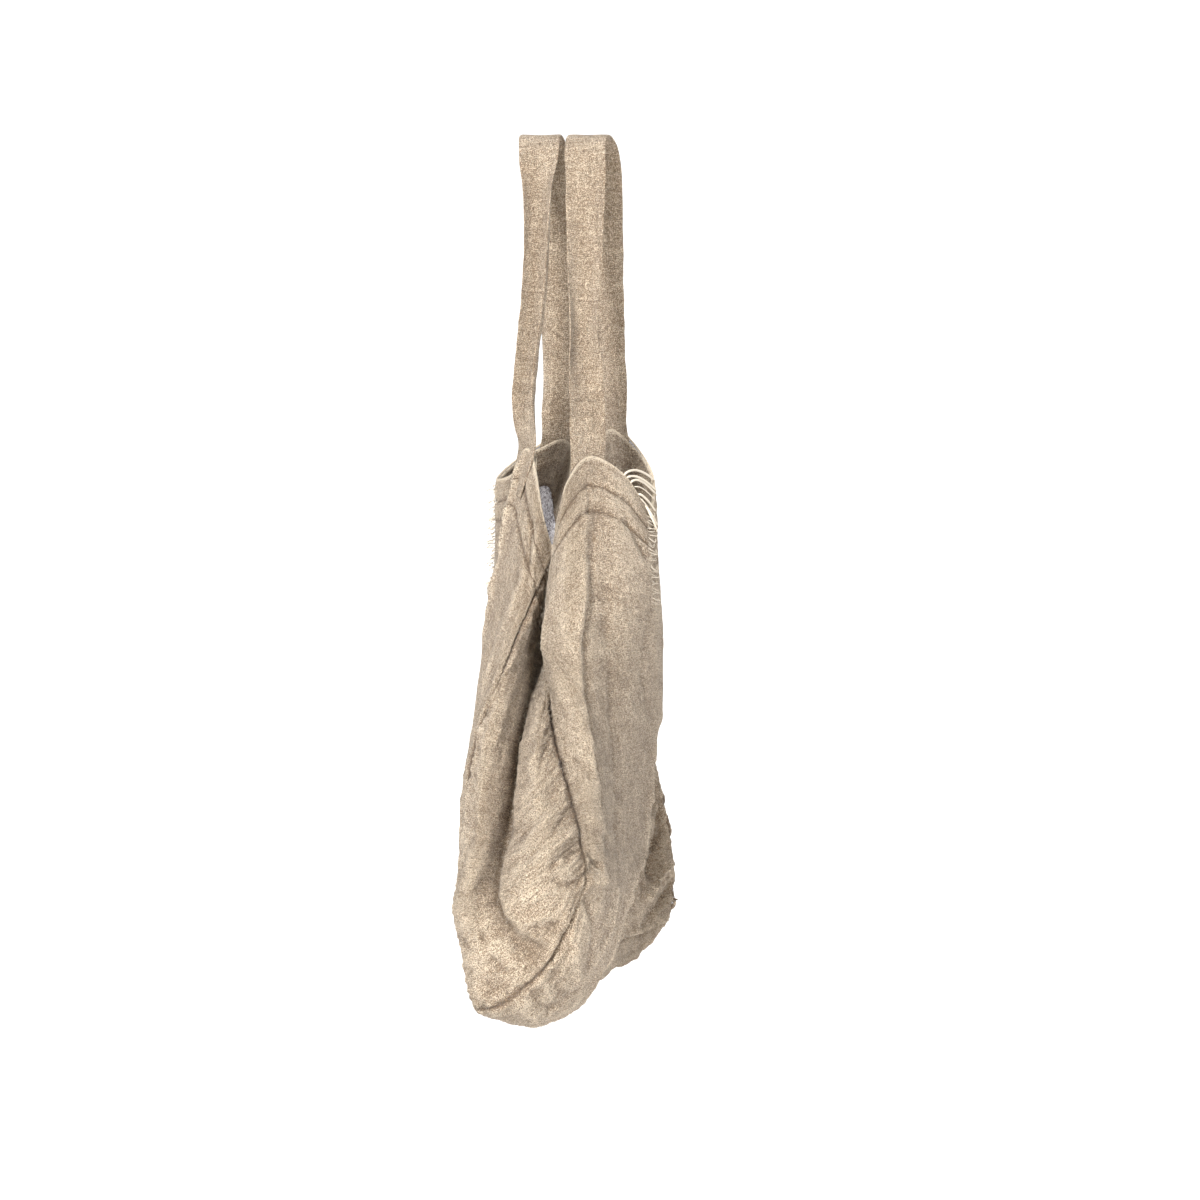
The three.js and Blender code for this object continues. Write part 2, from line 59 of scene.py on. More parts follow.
# %% Cut sizes of the cloth and the straps
PANEL_WIDTH, PANEL_HEIGHT, GUSSET_DEPTH = 350.0, 380.0, 128.0
STRIP_LENGTH = 2 * PANEL_HEIGHT + GUSSET_DEPTH
CLOTH_THICKNESS, FACING_DEPTH, FACING_THICKNESS = 0.9, 36.0, 0.8
HANDLE_DROP, STRAP_WIDTH, STRAP_THICKNESS, STRAP_TUCK = 240.0, 32.0, 2.0, 28.0
CROWN_GAP, HANGING_RADIUS, STRAP_SPACING = 4.6, 19.0, 140.0
SIDE_PART = (PANEL_WIDTH - STRAP_SPACING) / 2
NEAR_STRAP, FAR_STRAP = SIDE_PART, PANEL_WIDTH - SIDE_PART
print("strip", STRIP_LENGTH, "x", PANEL_WIDTH, "mm, gussets", GUSSET_DEPTH, "x", PANEL_HEIGHT, "mm")

# %% [markdown]
# ## The hung form
# Cloth that hangs has no formula, but it has a few big folds. It could be simulated from the flat
# cut, but then the folds fall where they like. So we give their places as a coarse net of points
# and let smooth curves run through them. The points were picked, with a guessed depth,
# and turned into shares of the cut sizes. The far gusset's were worked out from the strip's
# edges. A pattern maker pins a toile this way: few pins, long even curves between them.

# %% The net of the strip, in thousandths of gusset depth, panel width and panel height
STRIP_FORM = [
    [[72, -183, -201], [45, -189, -167], [8, -189, -121], [-47, -171, -50],
     [-125, -131, 6], [-272, -69, -50], [-428, 6, -66], [-344, 63, -30],
     [-100, 111, 20], [-63, 177, -42], [-88, 166, -173]],
    [[-126, -309, -406], [-165, -297, -389], [-222, -263, -379], [-323, -177, -355],
     [-403, -80, -318], [-462, 6, -312], [-518, 97, -317], [-557, 183, -308],
     [-558, 263, -269], [-496, 354, -298], [-287, 337, -367]],
    [[-306, -331, -566], [-360, -286, -566], [-401, -240, -566], [-470, -143, -564],
     [-532, -46, -564], [-586, 40, -567], [-639, 126, -574], [-685, 211, -576],
     [-711, 297, -569], [-654, 406, -572], [-398, 417, -597]],
    [[-368, -349, -727], [-416, -303, -734], [-452, -257, -741], [-518, -157, -762],
     [-564, -57, -784], [-605, 37, -802], [-639, 131, -816], [-670, 223, -821],
     [-687, 314, -821], [-624, 434, -811], [-386, 474, -796]],
    [[-371, -371, -931], [-387, -320, -954], [-402, -269, -973], [-419, -166, -1001],
     [-435, -63, -1023], [-444, 34, -1040], [-459, 131, -1052], [-473, 229, -1060],
     [-475, 320, -1058], [-412, 434, -1041], [-258, 480, -993]],
    [[-246, -400, -1096], [-234, -360, -1112], [-226, -314, -1128], [-202, -223, -1153],
     [-161, -126, -1172], [-131, -29, -1184], [-124, 69, -1191], [-129, 166, -1194],
     [-128, 257, -1194], [-58, 383, -1158], [11, 457, -1144]],
    [[186, -423, -1001], [228, -389, -1038], [244, -343, -1066], [255, -246, -1096],
     [252, -143, -1106], [223, -46, -1108], [188, 51, -1109], [141, 149, -1105],
     [79, 240, -1101], [156, 377, -1097], [258, 463, -1097]],
    [[396, -394, -834], [446, -371, -845], [474, -331, -859], [469, -234, -885],
     [455, -131, -899], [441, -34, -898], [412, 57, -896], [333, 149, -911],
     [143, 240, -950], [280, 389, -1002], [410, 451, -1005]],
    [[382, -383, -752], [434, -371, -741], [471, -337, -742], [479, -240, -760],
     [484, -137, -777], [491, -34, -794], [471, 63, -817], [372, 166, -842],
     [161, 251, -866], [249, 394, -881], [402, 463, -894]],
    [[281, -360, -645], [378, -360, -632], [431, -331, -627], [446, -246, -626],
     [485, -149, -624], [520, -51, -626], [536, 40, -638], [511, 137, -659],
     [353, 234, -690], [256, 383, -737], [322, 463, -755]],
    [[134, -297, -527], [217, -320, -507], [312, -326, -493], [376, -269, -487],
     [456, -189, -480], [531, -97, -477], [567, 0, -484], [557, 103, -495],
     [456, 211, -517], [248, 354, -557], [200, 429, -592]],
    [[83, -234, -410], [73, -263, -387], [96, -294, -359], [262, -331, -322],
     [384, -280, -294], [541, -189, -306], [627, -74, -322], [592, 29, -322],
     [513, 131, -303], [296, 280, -327], [70, 349, -412]],
    [[91, -131, -189], [92, -194, -164], [129, -229, -117], [174, -206, -52],
     [258, -131, -8], [436, -86, -45], [552, -17, -122], [512, 63, -46],
     [242, 120, 38], [20, 194, -57], [-21, 143, -179]],
]
NEAR_FOLDS = [
    [[28, -149, -251], [-29, -120, -289], [-23, -94, -317], [45, -86, -320],
     [105, -109, -272]],
    [[-86, -289, -418], [-73, -240, -439], [-65, -200, -455], [-41, -183, -459],
     [17, -211, -441]],
    [[-210, -377, -571], [-126, -343, -584], [-88, -263, -604], [-39, -320, -590],
     [86, -366, -565]],
    [[-272, -417, -728], [-151, -417, -734], [-95, -337, -749], [-32, -389, -737],
     [165, -434, -688]],
    [[-351, -451, -898], [-201, -480, -885], [-91, -417, -882], [-33, -446, -868],
     [221, -471, -801]],
]
FAR_FOLDS = [
    [[-71, 114, -217], [-54, 80, -245], [-37, 103, -220]],
    [[-198, 262, -418], [-109, 217, -453], [-19, 268, -440]],
    [[-248, 367, -619], [-99, 337, -631], [50, 373, -616]],
    [[-209, 468, -796], [-32, 463, -792], [145, 462, -775]],
    [[-93, 501, -968], [72, 511, -943], [237, 492, -919]],
]
ROW_SHARES = np.array([0, 0.26, 0.44, 0.62, 0.83])
NEAR_SHARES = np.array([0, 0.15, 0.35, 0.5, 0.62, 0.8, 1])
FAR_SHARES = np.array([0, 0.25, 0.5, 0.75, 1])
DOWN = ROW_SHARES * PANEL_HEIGHT
STRIP_ROWS = np.concatenate([DOWN, [PANEL_HEIGHT, STRIP_LENGTH / 2, PANEL_HEIGHT + GUSSET_DEPTH],
                             STRIP_LENGTH - DOWN[::-1]])
STRIP_COLUMNS = np.concatenate([SIDE_PART * np.array([0, 1 / 6, 1 / 3, 2 / 3]),
                                NEAR_STRAP + STRAP_SPACING * np.array([0, 0.25, 0.5, 0.75, 1]),
                                PANEL_WIDTH - SIDE_PART * np.array([0.5, 0])])
GUSSET_ROWS = np.append(DOWN, PANEL_HEIGHT)
SCALE = np.array([GUSSET_DEPTH, PANEL_WIDTH, PANEL_HEIGHT]) / 1000


def placed(points):
    """Net points in mm: each share times its cut size, with z counted down from the rim's level."""
    return np.array(points, float) * SCALE - (0, 0, HANDLE_DROP)


STRIP_NET = placed(STRIP_FORM)
print("net points:", STRIP_NET.shape[:2])


# %% Smooth curves through uneven points
def curve_weights(knots, t):
    """How much of each knot's point goes into the curve at t.

    Between two knots the curve is 2u3-3u2+1 of the first point, 3u2-2u3 of the second,
    and span times (u3-2u2+u) and (u3-u2) of the slopes there; a slope is the rise from
    the knot before to the knot after, over their distance. u runs from 0 to 1.
    """
    t = np.asarray(t, float)
    last = len(knots) - 1
    i = np.clip(np.searchsorted(knots, t, side="right") - 1, 0, last - 1)
    span = knots[i + 1] - knots[i]
    u = (t - knots[i]) / span
    weights = np.zeros((len(t), last + 1))
    rows = np.arange(len(t))
    np.add.at(weights, (rows, i), 2 * u**3 - 3 * u**2 + 1)
    np.add.at(weights, (rows, i + 1), 3 * u**2 - 2 * u**3)
    for knot, share in ((i, span * (u**3 - 2 * u**2 + u)), (i + 1, span * (u**3 - u**2))):
        low, high = np.maximum(knot - 1, 0), np.minimum(knot + 1, last)
        slope = share / (knots[high] - knots[low])
        np.add.at(weights, (rows, high), slope)
        np.add.at(weights, (rows, low), -slope)
    return weights


print("the weights of a curve add up to", round(float(curve_weights(STRIP_ROWS, [200.0]).sum()), 6))

# %% The surface of the strip
def strip_surface(along, across):
    """Grid of points (along x across): the net, smoothed down each column, then over each row."""
    down = np.einsum("ri,ijk->rjk", curve_weights(STRIP_ROWS, along), STRIP_NET)
    return np.einsum("cj,rjk->rck", curve_weights(STRIP_COLUMNS, across), down)


def strip_at(along, across):
    """Single points of the strip, one for each pair of along and across."""
    rows = curve_weights(STRIP_ROWS, along)
    columns = curve_weights(STRIP_COLUMNS, across)
    return np.einsum("ni,nj,ijk->nk", rows, columns, STRIP_NET)


print("the strip's near corner, mm:", np.round(strip_at([0.0], [0.0])[0]).tolist())

# %% The surface of a gusset
def gusset_surface(folds, shares, edge, down, across):
    """Grid of points (down x across) of a gusset: its folds, smoothed both ways, plus what its
    three sewn edges are off the strip's edge, shared out over the cloth in straight ratios."""
    columns = shares * GUSSET_DEPTH

    def seam(along):
        return strip_at(along, np.full(len(along), edge))

    left, right = seam(GUSSET_ROWS), seam(STRIP_LENGTH - GUSSET_ROWS)
    inner = np.concatenate([placed(folds), seam(PANEL_HEIGHT + columns[1:-1])[None]])
    net = np.concatenate([left[:, None], inner, right[:, None]], axis=1)

    def loose(v, a):
        return np.einsum("ri,ijk,cj->rck", curve_weights(GUSSET_ROWS, v), net,
                         curve_weights(columns, a))

    ends = np.array([0, GUSSET_DEPTH])
    off = np.stack([seam(down), seam(STRIP_LENGTH - down)], axis=1) - loose(down, ends)
    foot = np.array([PANEL_HEIGHT])
    off_foot = (np.stack([seam(foot), seam(STRIP_LENGTH - foot)], axis=1) - loose(foot, ends))[0]
    a = (across / GUSSET_DEPTH)[None, :, None]
    d = (down / PANEL_HEIGHT)[:, None, None]
    bottom = seam(PANEL_HEIGHT + across) - loose(foot, across)[0]
    bottom = bottom - (1 - a[0]) * off_foot[0] - a[0] * off_foot[1]
    return loose(down, across) + (1 - a) * off[:, :1] + a * off[:, 1:] + d * bottom[None]


near_corner = gusset_surface(NEAR_FOLDS, NEAR_SHARES, 0.0, np.zeros(1), np.zeros(1))[0, 0]
print("the near gusset's corner, mm:", np.round(near_corner).tolist())


# %% [markdown]
# ## Crumples
# Linen that was washed and carried keeps small creases. They come from cloth that is a little
# longer than the form it hangs in, so we let them arise the same way: every thread is made a
# few per cent too long, and the cloth is relaxed until its threads have their length again. It
# can only go in and out, and it buckles into soft wrinkles. Springs to the hung form keep the
# big folds in place, and springs that skip a point make the cloth stiff against sharp bends.


# %% Outward directions and smooth noise
def outward(grid, flip):
    """Unit normal at each grid point: the cross product of the two grid directions."""
    normal = np.cross(np.gradient(grid, axis=0), np.gradient(grid, axis=1))
    normal /= np.maximum(np.linalg.norm(normal, axis=2, keepdims=True), 1e-9)
    return -normal if flip else normal


def soft_noise(rows, columns, size, seed):
    """Noise with a bump about every `size` mm, at each crossing of rows and columns, also in mm:
    random numbers on a coarse grid, joined by the smooth step 3u2-2u3, from -1 to 1."""
    y = ((rows - rows.min()) / size[0])[:, None]
    x = ((columns - columns.min()) / size[1])[None, :]
    i, j = y.astype(int), x.astype(int)
    numbers = np.random.default_rng(seed).uniform(-1, 1, (i.max() + 2, j.max() + 2))
    u, v = y - i, x - j
    u, v = u * u * (3 - 2 * u), v * v * (3 - 2 * v)
    top = numbers[i, j] * (1 - v) + numbers[i, j + 1] * v
    low = numbers[i + 1, j] * (1 - v) + numbers[i + 1, j + 1] * v
    return top * (1 - u) + low * u


sample = soft_noise(STRIP_ROWS, STRIP_COLUMNS, (80, 58), 1)
print("noise on the net:", round(float(sample.min()), 2), "to", round(float(sample.max()), 2))

# %% Relax a grid of cloth
# each round pulls a point by these shares: to the form, along its threads, and against a bend,
# which is where two steps span less than BEND_SPAN of their length
ROUNDS = 220
HOLD, THREAD_PULL, STIFFNESS, BEND_SPAN = 0.03, 0.9, 0.25, 0.99


def pull_pairs(grid, axis, skip, rest, share, push_only):
    """Moves points `skip` apart towards their rest distance, each end half the way. The pairs
    of one pass share no point, so a pass is a single array sum. push_only leaves long gaps."""
    g, r = (grid, rest) if axis == 0 else (grid.swapaxes(0, 1), rest.swapaxes(0, 1))
    for first in range(2 * skip):
        a, b, q = g[first :: 2 * skip], g[first + skip :: 2 * skip], r[first :: 2 * skip]
        n = min(len(a), len(b), len(q))
        gap = b[:n] - a[:n]
        length = np.maximum(np.linalg.norm(gap, axis=2, keepdims=True), 1e-9)
        wrong = length - q[:n]
        move = gap * (0.5 * share * (np.minimum(wrong, 0) if push_only else wrong) / length)
        a[:n] += move
        b[:n] -= move


def relax(form, rows, columns, extra_down, extra_over, flip, held, seed):
    """The form with crumples. extra_down and extra_over say how much longer the threads are
    than the form, as shares. held is 1 where the cloth is sewn fast and can't move."""
    noise = soft_noise(rows, columns, (20, 19), seed)
    noise += 0.6 * soft_noise(rows, columns, (11, 10), seed + 1)
    free = (1 - held)[:, :, None]
    grid = form + outward(form, flip) * noise[:, :, None] * free * 0.5
    down = np.linalg.norm(np.diff(form, axis=0), axis=2, keepdims=True)
    over = np.linalg.norm(np.diff(form, axis=1), axis=2, keepdims=True)
    down = down * (1 + 0.5 * (extra_down[1:] + extra_down[:-1])[:, :, None])
    over = over * (1 + 0.5 * (extra_over[:, 1:] + extra_over[:, :-1])[:, :, None])
    down_two, over_two = (down[1:] + down[:-1]) * BEND_SPAN, (over[:, 1:] + over[:, :-1]) * BEND_SPAN
    for _ in range(ROUNDS):
        grid += (form - grid) * HOLD
        pull_pairs(grid, 0, 1, down, THREAD_PULL, False)
        pull_pairs(grid, 1, 1, over, THREAD_PULL, False)
        pull_pairs(grid, 0, 2, down_two, STIFFNESS, True)
        pull_pairs(grid, 1, 2, over_two, STIFFNESS, True)
        grid = form + (grid - form) * free
    return grid


print("rounds of relaxing:", ROUNDS)

# %% Grid lines, closer together where the cloth is gathered
HEM_ZONE, SEAM_ZONE, FINE_STEP, GUSSET_STEP, COARSE_STEP = 45.0, 10.0, 1.6, 2.2, 3.0


def steps_over(start, end, step):
    """Evenly spaced places from start to end, about one step apart, without the last."""
    return np.linspace(start, end, round((end - start) / step) + 1)[:-1]


def between_seams(width, step):
    """Places over a width, close together beside both seams, where the cloth is gathered."""
    edge = steps_over(0, SEAM_ZONE, FINE_STEP)
    return np.concatenate([edge, steps_over(SEAM_ZONE, width - SEAM_ZONE, step),
                           width - np.r_[SEAM_ZONE, edge[::-1]]])


downs = np.concatenate([steps_over(0, HEM_ZONE, FINE_STEP),
                        steps_over(HEM_ZONE, PANEL_HEIGHT - SEAM_ZONE, COARSE_STEP),
                        np.linspace(PANEL_HEIGHT - SEAM_ZONE, PANEL_HEIGHT, 7)])
gusset_acrosses = between_seams(GUSSET_DEPTH, GUSSET_STEP)
alongs = np.concatenate([downs, PANEL_HEIGHT + gusset_acrosses[1:-1], STRIP_LENGTH - downs[::-1]])
acrosses = between_seams(PANEL_WIDTH, COARSE_STEP)
DOWN_STEPS, BASE_STEPS = len(downs) - 1, len(gusset_acrosses) - 1
print("grid of the strip:", len(alongs), "x", len(acrosses), "points")


# %% The strip, relaxed
# extra length of the threads, as shares: everywhere, and where the cloth is gathered
SPARE, GATHERED = 0.010, 0.022


def bump(x, centre, width):
    """A hill of height 1: e to the power of minus the square of (x - centre) over width."""
    return np.exp(-(((x - centre) / width) ** 2))


strip_form = strip_surface(alongs, acrosses)
rim_distance, seam_distance = np.meshgrid(np.minimum(alongs, STRIP_LENGTH - alongs),
                                          np.minimum(acrosses, PANEL_WIDTH - acrosses), indexing="ij")
base_nearness = bump(alongs, STRIP_LENGTH / 2, 120)[:, None]
near_seam = np.exp(-seam_distance / 16)
patches = 0.5 + 0.5 * soft_noise(alongs, acrosses, (80, 58), 31)
extra_down = SPARE + GATHERED * near_seam + GATHERED * base_nearness * patches
extra_over = SPARE + 0.015 * near_seam + GATHERED * base_nearness * patches + 0.01 * patches
rim_hold = 0.75 * np.exp(-rim_distance / 14)
strip = relax(strip_form, alongs, acrosses, extra_down, extra_over, True, rim_hold, 11)
print("strip relaxed:", strip.shape[:2], "moved up to",
      round(float(np.abs(strip - strip_form).max()), 1), "mm")


# %% The gussets, sewn to the relaxed strip
gusset_edge = np.minimum(np.minimum(gusset_acrosses, GUSSET_DEPTH - gusset_acrosses)[None, :],
                         (PANEL_HEIGHT - downs)[:, None])


def sewn_gusset(folds, shares, edge, column, flip, seed):
    """The gusset's form with its three edges put on the relaxed strip's edge, then relaxed."""
    form = gusset_surface(folds, shares, edge, downs, gusset_acrosses)
    seam = strip[:, column]
    a = (gusset_acrosses / GUSSET_DEPTH)[None, :, None]
    d = (downs / PANEL_HEIGHT)[:, None, None]
    left = (seam[: DOWN_STEPS + 1] - form[:, 0])[:, None]
    right = (seam[::-1][: DOWN_STEPS + 1] - form[:, -1])[:, None]
    foot = (seam[DOWN_STEPS : DOWN_STEPS + BASE_STEPS + 1] - form[-1])[None]
    corner = (1 - a) * left[-1:] + a * right[-1:]
    form = form + (1 - a) * left + a * right + d**6 * (foot - corner)
    nearness = np.exp(-gusset_edge / 18)
    spots = 0.5 + 0.5 * soft_noise(downs, gusset_acrosses, (42, 40), seed + 5)
    more = SPARE + 0.02 * nearness + 0.015 * spots
    held = (gusset_edge <= 0).astype(float)
    held = np.maximum(held, 0.6 * np.exp(-downs / 14)[:, None])
    return relax(form, downs, gusset_acrosses, more, more, flip, held, seed)


near_gusset = sewn_gusset(NEAR_FOLDS, NEAR_SHARES, 0.0, 0, False, 21)
far_gusset = sewn_gusset(FAR_FOLDS, FAR_SHARES, PANEL_WIDTH, -1, True, 41)
print("gussets relaxed:", near_gusset.shape[:2])

# %% [markdown]
# ## From grids to meshes
# A grid of points becomes a mesh of four-sided faces, and a strap, a stitch or a thread becomes
# rings that are joined into a closed tube. Curve objects with a bevel could make the tubes too,
# but here each point's place is needed. The UV map is the flat cloth itself, at one unit for
# each 100 mm, so that the weave follows the threads through every fold.


# %% Meshes and their faces
def smooth_mesh(name, points, faces, uvs=None):
    """A mesh object at the origin from points in mm, with smooth shading."""
    mesh = bpy.data.meshes.new(name)
    corners = faces if isinstance(faces, list) else faces.tolist()
    mesh.from_pydata((np.asarray(points) / 1000).tolist(), [], corners)
    if uvs is not None:
        loops = np.empty(len(mesh.loops), np.int32)
        mesh.loops.foreach_get("vertex_index", loops)
        layer = mesh.uv_layers.new(name="UVMap")
        layer.data.foreach_set("uv", np.asarray(uvs, float)[loops].ravel())
    mesh.polygons.foreach_set("use_smooth", np.ones(len(mesh.polygons), bool))
    mesh.update()
    piece = bpy.data.objects.new(name, mesh)
    bpy.context.scene.collection.objects.link(piece)
    return piece


def grid_faces(rows, columns, flip=False, start=0):
    """The four corners of every face of a grid whose points are numbered row by row."""
    i, j = np.meshgrid(np.arange(rows - 1), np.arange(columns - 1), indexing="ij")
    a = (i * columns + j).ravel() + start
    corners = np.stack([a, a + columns, a + columns + 1, a + 1], axis=1)
    return corners[:, ::-1] if flip else corners


def tube_faces(count, rings, sides, inside_out=False):
    """Faces of that many closed tubes with points numbered ring by ring: the walls, then the ends."""
    i, j = np.meshgrid(np.arange(rings - 1), np.arange(sides), indexing="ij")
    a, b = i * sides + j, i * sides + (j + 1) % sides
    wall = np.stack([a, b, b + sides, a + sides], axis=2).reshape(-1, 4)
    size = rings * sides
    walls = (np.arange(count)[:, None, None] * size + wall[None]).reshape(-1, 4).tolist()
    ends = (range(sides - 1, -1, -1), range(size - sides, size))
    faces = walls + [[n * size + corner for corner in end] for n in range(count) for end in ends]
    return [face[::-1] for face in faces] if inside_out else faces


def write_values(piece, name, values):
    """Keeps a number for each point, under a name that a material can read."""
    piece.data.attributes.new(name, "FLOAT", "POINT").data.foreach_set("value", values.ravel())


print("a tube of 3 rings of 6 points has", len(tube_faces(1, 3, 6)), "faces")


# %% Sheets, rims and places on a grid
def cloth_piece(name, grid, first, second, flip, thickness):
    """A sheet of cloth: the grid as its outer face, and a wall of that thickness inwards."""
    uvs = np.stack(np.meshgrid(second, first), axis=2).reshape(-1, 2) / 100
    faces = grid_faces(*grid.shape[:2], flip)
    piece = smooth_mesh(name, grid.reshape(-1, 3), faces, uvs)
    solid = piece.modifiers.new("Thickness", "SOLIDIFY")
    solid.thickness, solid.offset = thickness / 1000, -1
    solid.material_offset = 1
    return piece


def rolled_rim(grid, flip, radius=1.5, steps=6):
    """Rows that carry a grid's first row round the rim: a half circle from the outer face to
    the inner one, radius * (normal * cos t + upwards * sin t) about a point inside the rim."""
    normal = outward(grid, flip)[0]
    upwards = grid[0] - grid[2]
    upwards /= np.linalg.norm(upwards, axis=1, keepdims=True)
    t = np.linspace(np.pi, 0, steps + 1)[:-1][:, None, None]
    return grid[0] - radius * normal + radius * (normal * np.cos(t) + upwards * np.sin(t))


def line_at(lines, places):
    """For each place: the grid line before it, and how far it is to the next one, from 0 to 1."""
    i = np.clip(np.searchsorted(lines, places, side="right") - 1, 0, len(lines) - 2)
    return i, (places - lines[i]) / (lines[i + 1] - lines[i])


def between(grid, alongs_of_rows, along, across):
    """Points on a relaxed grid at any along and across, by straight lines between its points."""
    i, u = line_at(alongs_of_rows, along)
    j, v = line_at(acrosses, across)
    u, v = u[..., None], v[..., None]
    return ((1 - u) * ((1 - v) * grid[i, j] + v * grid[i, j + 1])
            + u * ((1 - v) * grid[i + 1, j] + v * grid[i + 1, j + 1]))


base_middle = between(strip, alongs, np.array([STRIP_LENGTH / 2]), np.array([PANEL_WIDTH / 2]))[0]
print("the middle of the base, mm:", np.round(base_middle).tolist())

# %% [markdown]
# ## The body
# Sewing shows as relief. Along every seam the thread pulls both cloths into a groove and
# gathers them into small puckers beside it, and so do the two rows of stitches under the rim.
# Washed linen also keeps sharp creases where it was crushed, most of all near the seams and
# the base. Sculpting could make them, but a formula can be read and changed. We work out one
# height for each grid point, and move the point by it along the outward direction. On a seam
# both cloths use one common direction, so they stay sewn.

# %% Relief along hems and seams
HEM_LINES = (19.0, FACING_DEPTH)
SEAM_DEPTH, SEAM_SHOULDER = 1.7, 1.5


def unit(vectors):
    """The same directions at length 1."""
    return vectors / np.maximum(np.linalg.norm(vectors, axis=-1, keepdims=True), 1e-9)


def ridges(rows, columns, size, seed):
    """Sharp creases: one minus the square root of the size of smooth noise, from 0 to 1."""
    return 1 - np.sqrt(np.abs(soft_noise(rows, columns, size, seed)))


def hem_relief(rows, columns, distance, seed):
    """Grooves along the two stitch lines, with puckers, and soft rises between them."""
    pucker = 1 + 0.9 * soft_noise(rows, columns, (12, 6), seed)
    groove = sum(bump(distance, line, 1.5) for line in HEM_LINES)
    rise = sum(height * bump(distance, *hill)
               for height, hill in ((0.8, (10, 6)), (0.9, (27.5, 5)), (0.5, (40, 3.5))))
    return (rise - 1.3 * groove) * pucker


def seam_relief(distance, pucker):
    """A groove at a seam and a gathered shoulder beside it, which fades over 11 mm."""
    shoulder = bump(distance, 5.5, 3.2) * (0.55 + 0.6 * pucker) + 0.5 * pucker * np.exp(-distance / 11)
    shoulder = shoulder * (1 - bump(distance, 0, 2))
    return SEAM_SHOULDER * shoulder - SEAM_DEPTH * bump(distance, 0, 2.1)


def crumple_relief(rows, columns, strength, seed):
    """Sharp creases at three sizes added up, each less its mean of about 0.45, times the strength
    in mm."""
    relief = sum(share * (ridges(rows, columns, (size, 0.85 * size), seed + k) - 0.45)
                 for k, (size, share) in enumerate(((46, 0.9), (24, 0.75), (13, 0.7))))
    return strength * relief


print("stitch lines", HEM_LINES, "mm under the rim")

# %% One crease by itself
CREASE_STRENGTH = 1.45


def crease(rows, columns, points, height, width, seed):
    """A ridge, or for a negative height a valley, along a line of (row, column) points in mm: the
    height times e to the power of minus the distance over the width. It runs out to nothing at
    both ends and wavers a little in height."""
    y, x = rows[:, None], columns[None, :]
    best, share = np.full((len(rows), len(columns)), 1e9), np.zeros((len(rows), len(columns)))
    points = np.array(points, float)
    for k, (a, b) in enumerate(zip(points[:-1], points[1:])):
        t = np.clip(((y - a[0]) * (b - a)[0] + (x - a[1]) * (b - a)[1]) / np.sum((b - a) ** 2), 0, 1)
        distance = np.hypot(y - a[0] - t * (b - a)[0], x - a[1] - t * (b - a)[1])
        share = np.where(distance < best, (k + t) / (len(points) - 1), share)
        best = np.minimum(best, distance)
    ends = np.clip(np.minimum(share, 1 - share) * 6, 0, 1)
    waver = 1 + 0.35 * soft_noise(rows, columns, (14, 14), seed)
    return CREASE_STRENGTH * height * waver * ends * np.exp(-best / width)


def all_creases(rows, columns, table, seed):
    """A list of the heights that each crease of a table adds, each with a seed of its own."""
    return [crease(rows, columns, *line, seed + number) for number, line in enumerate(table)]


print("a crease of height 1 stands about", CREASE_STRENGTH, "mm high")

# %% [markdown]
# ## Where the creases lie
# Noise gives creases anywhere, but the ones that a viewer knows this bag by have a place: the
# folds that run down from the straps, the fan of puckers along the gussets' right seams, and the
# crushed corner low on the far side. These are listed one by one.

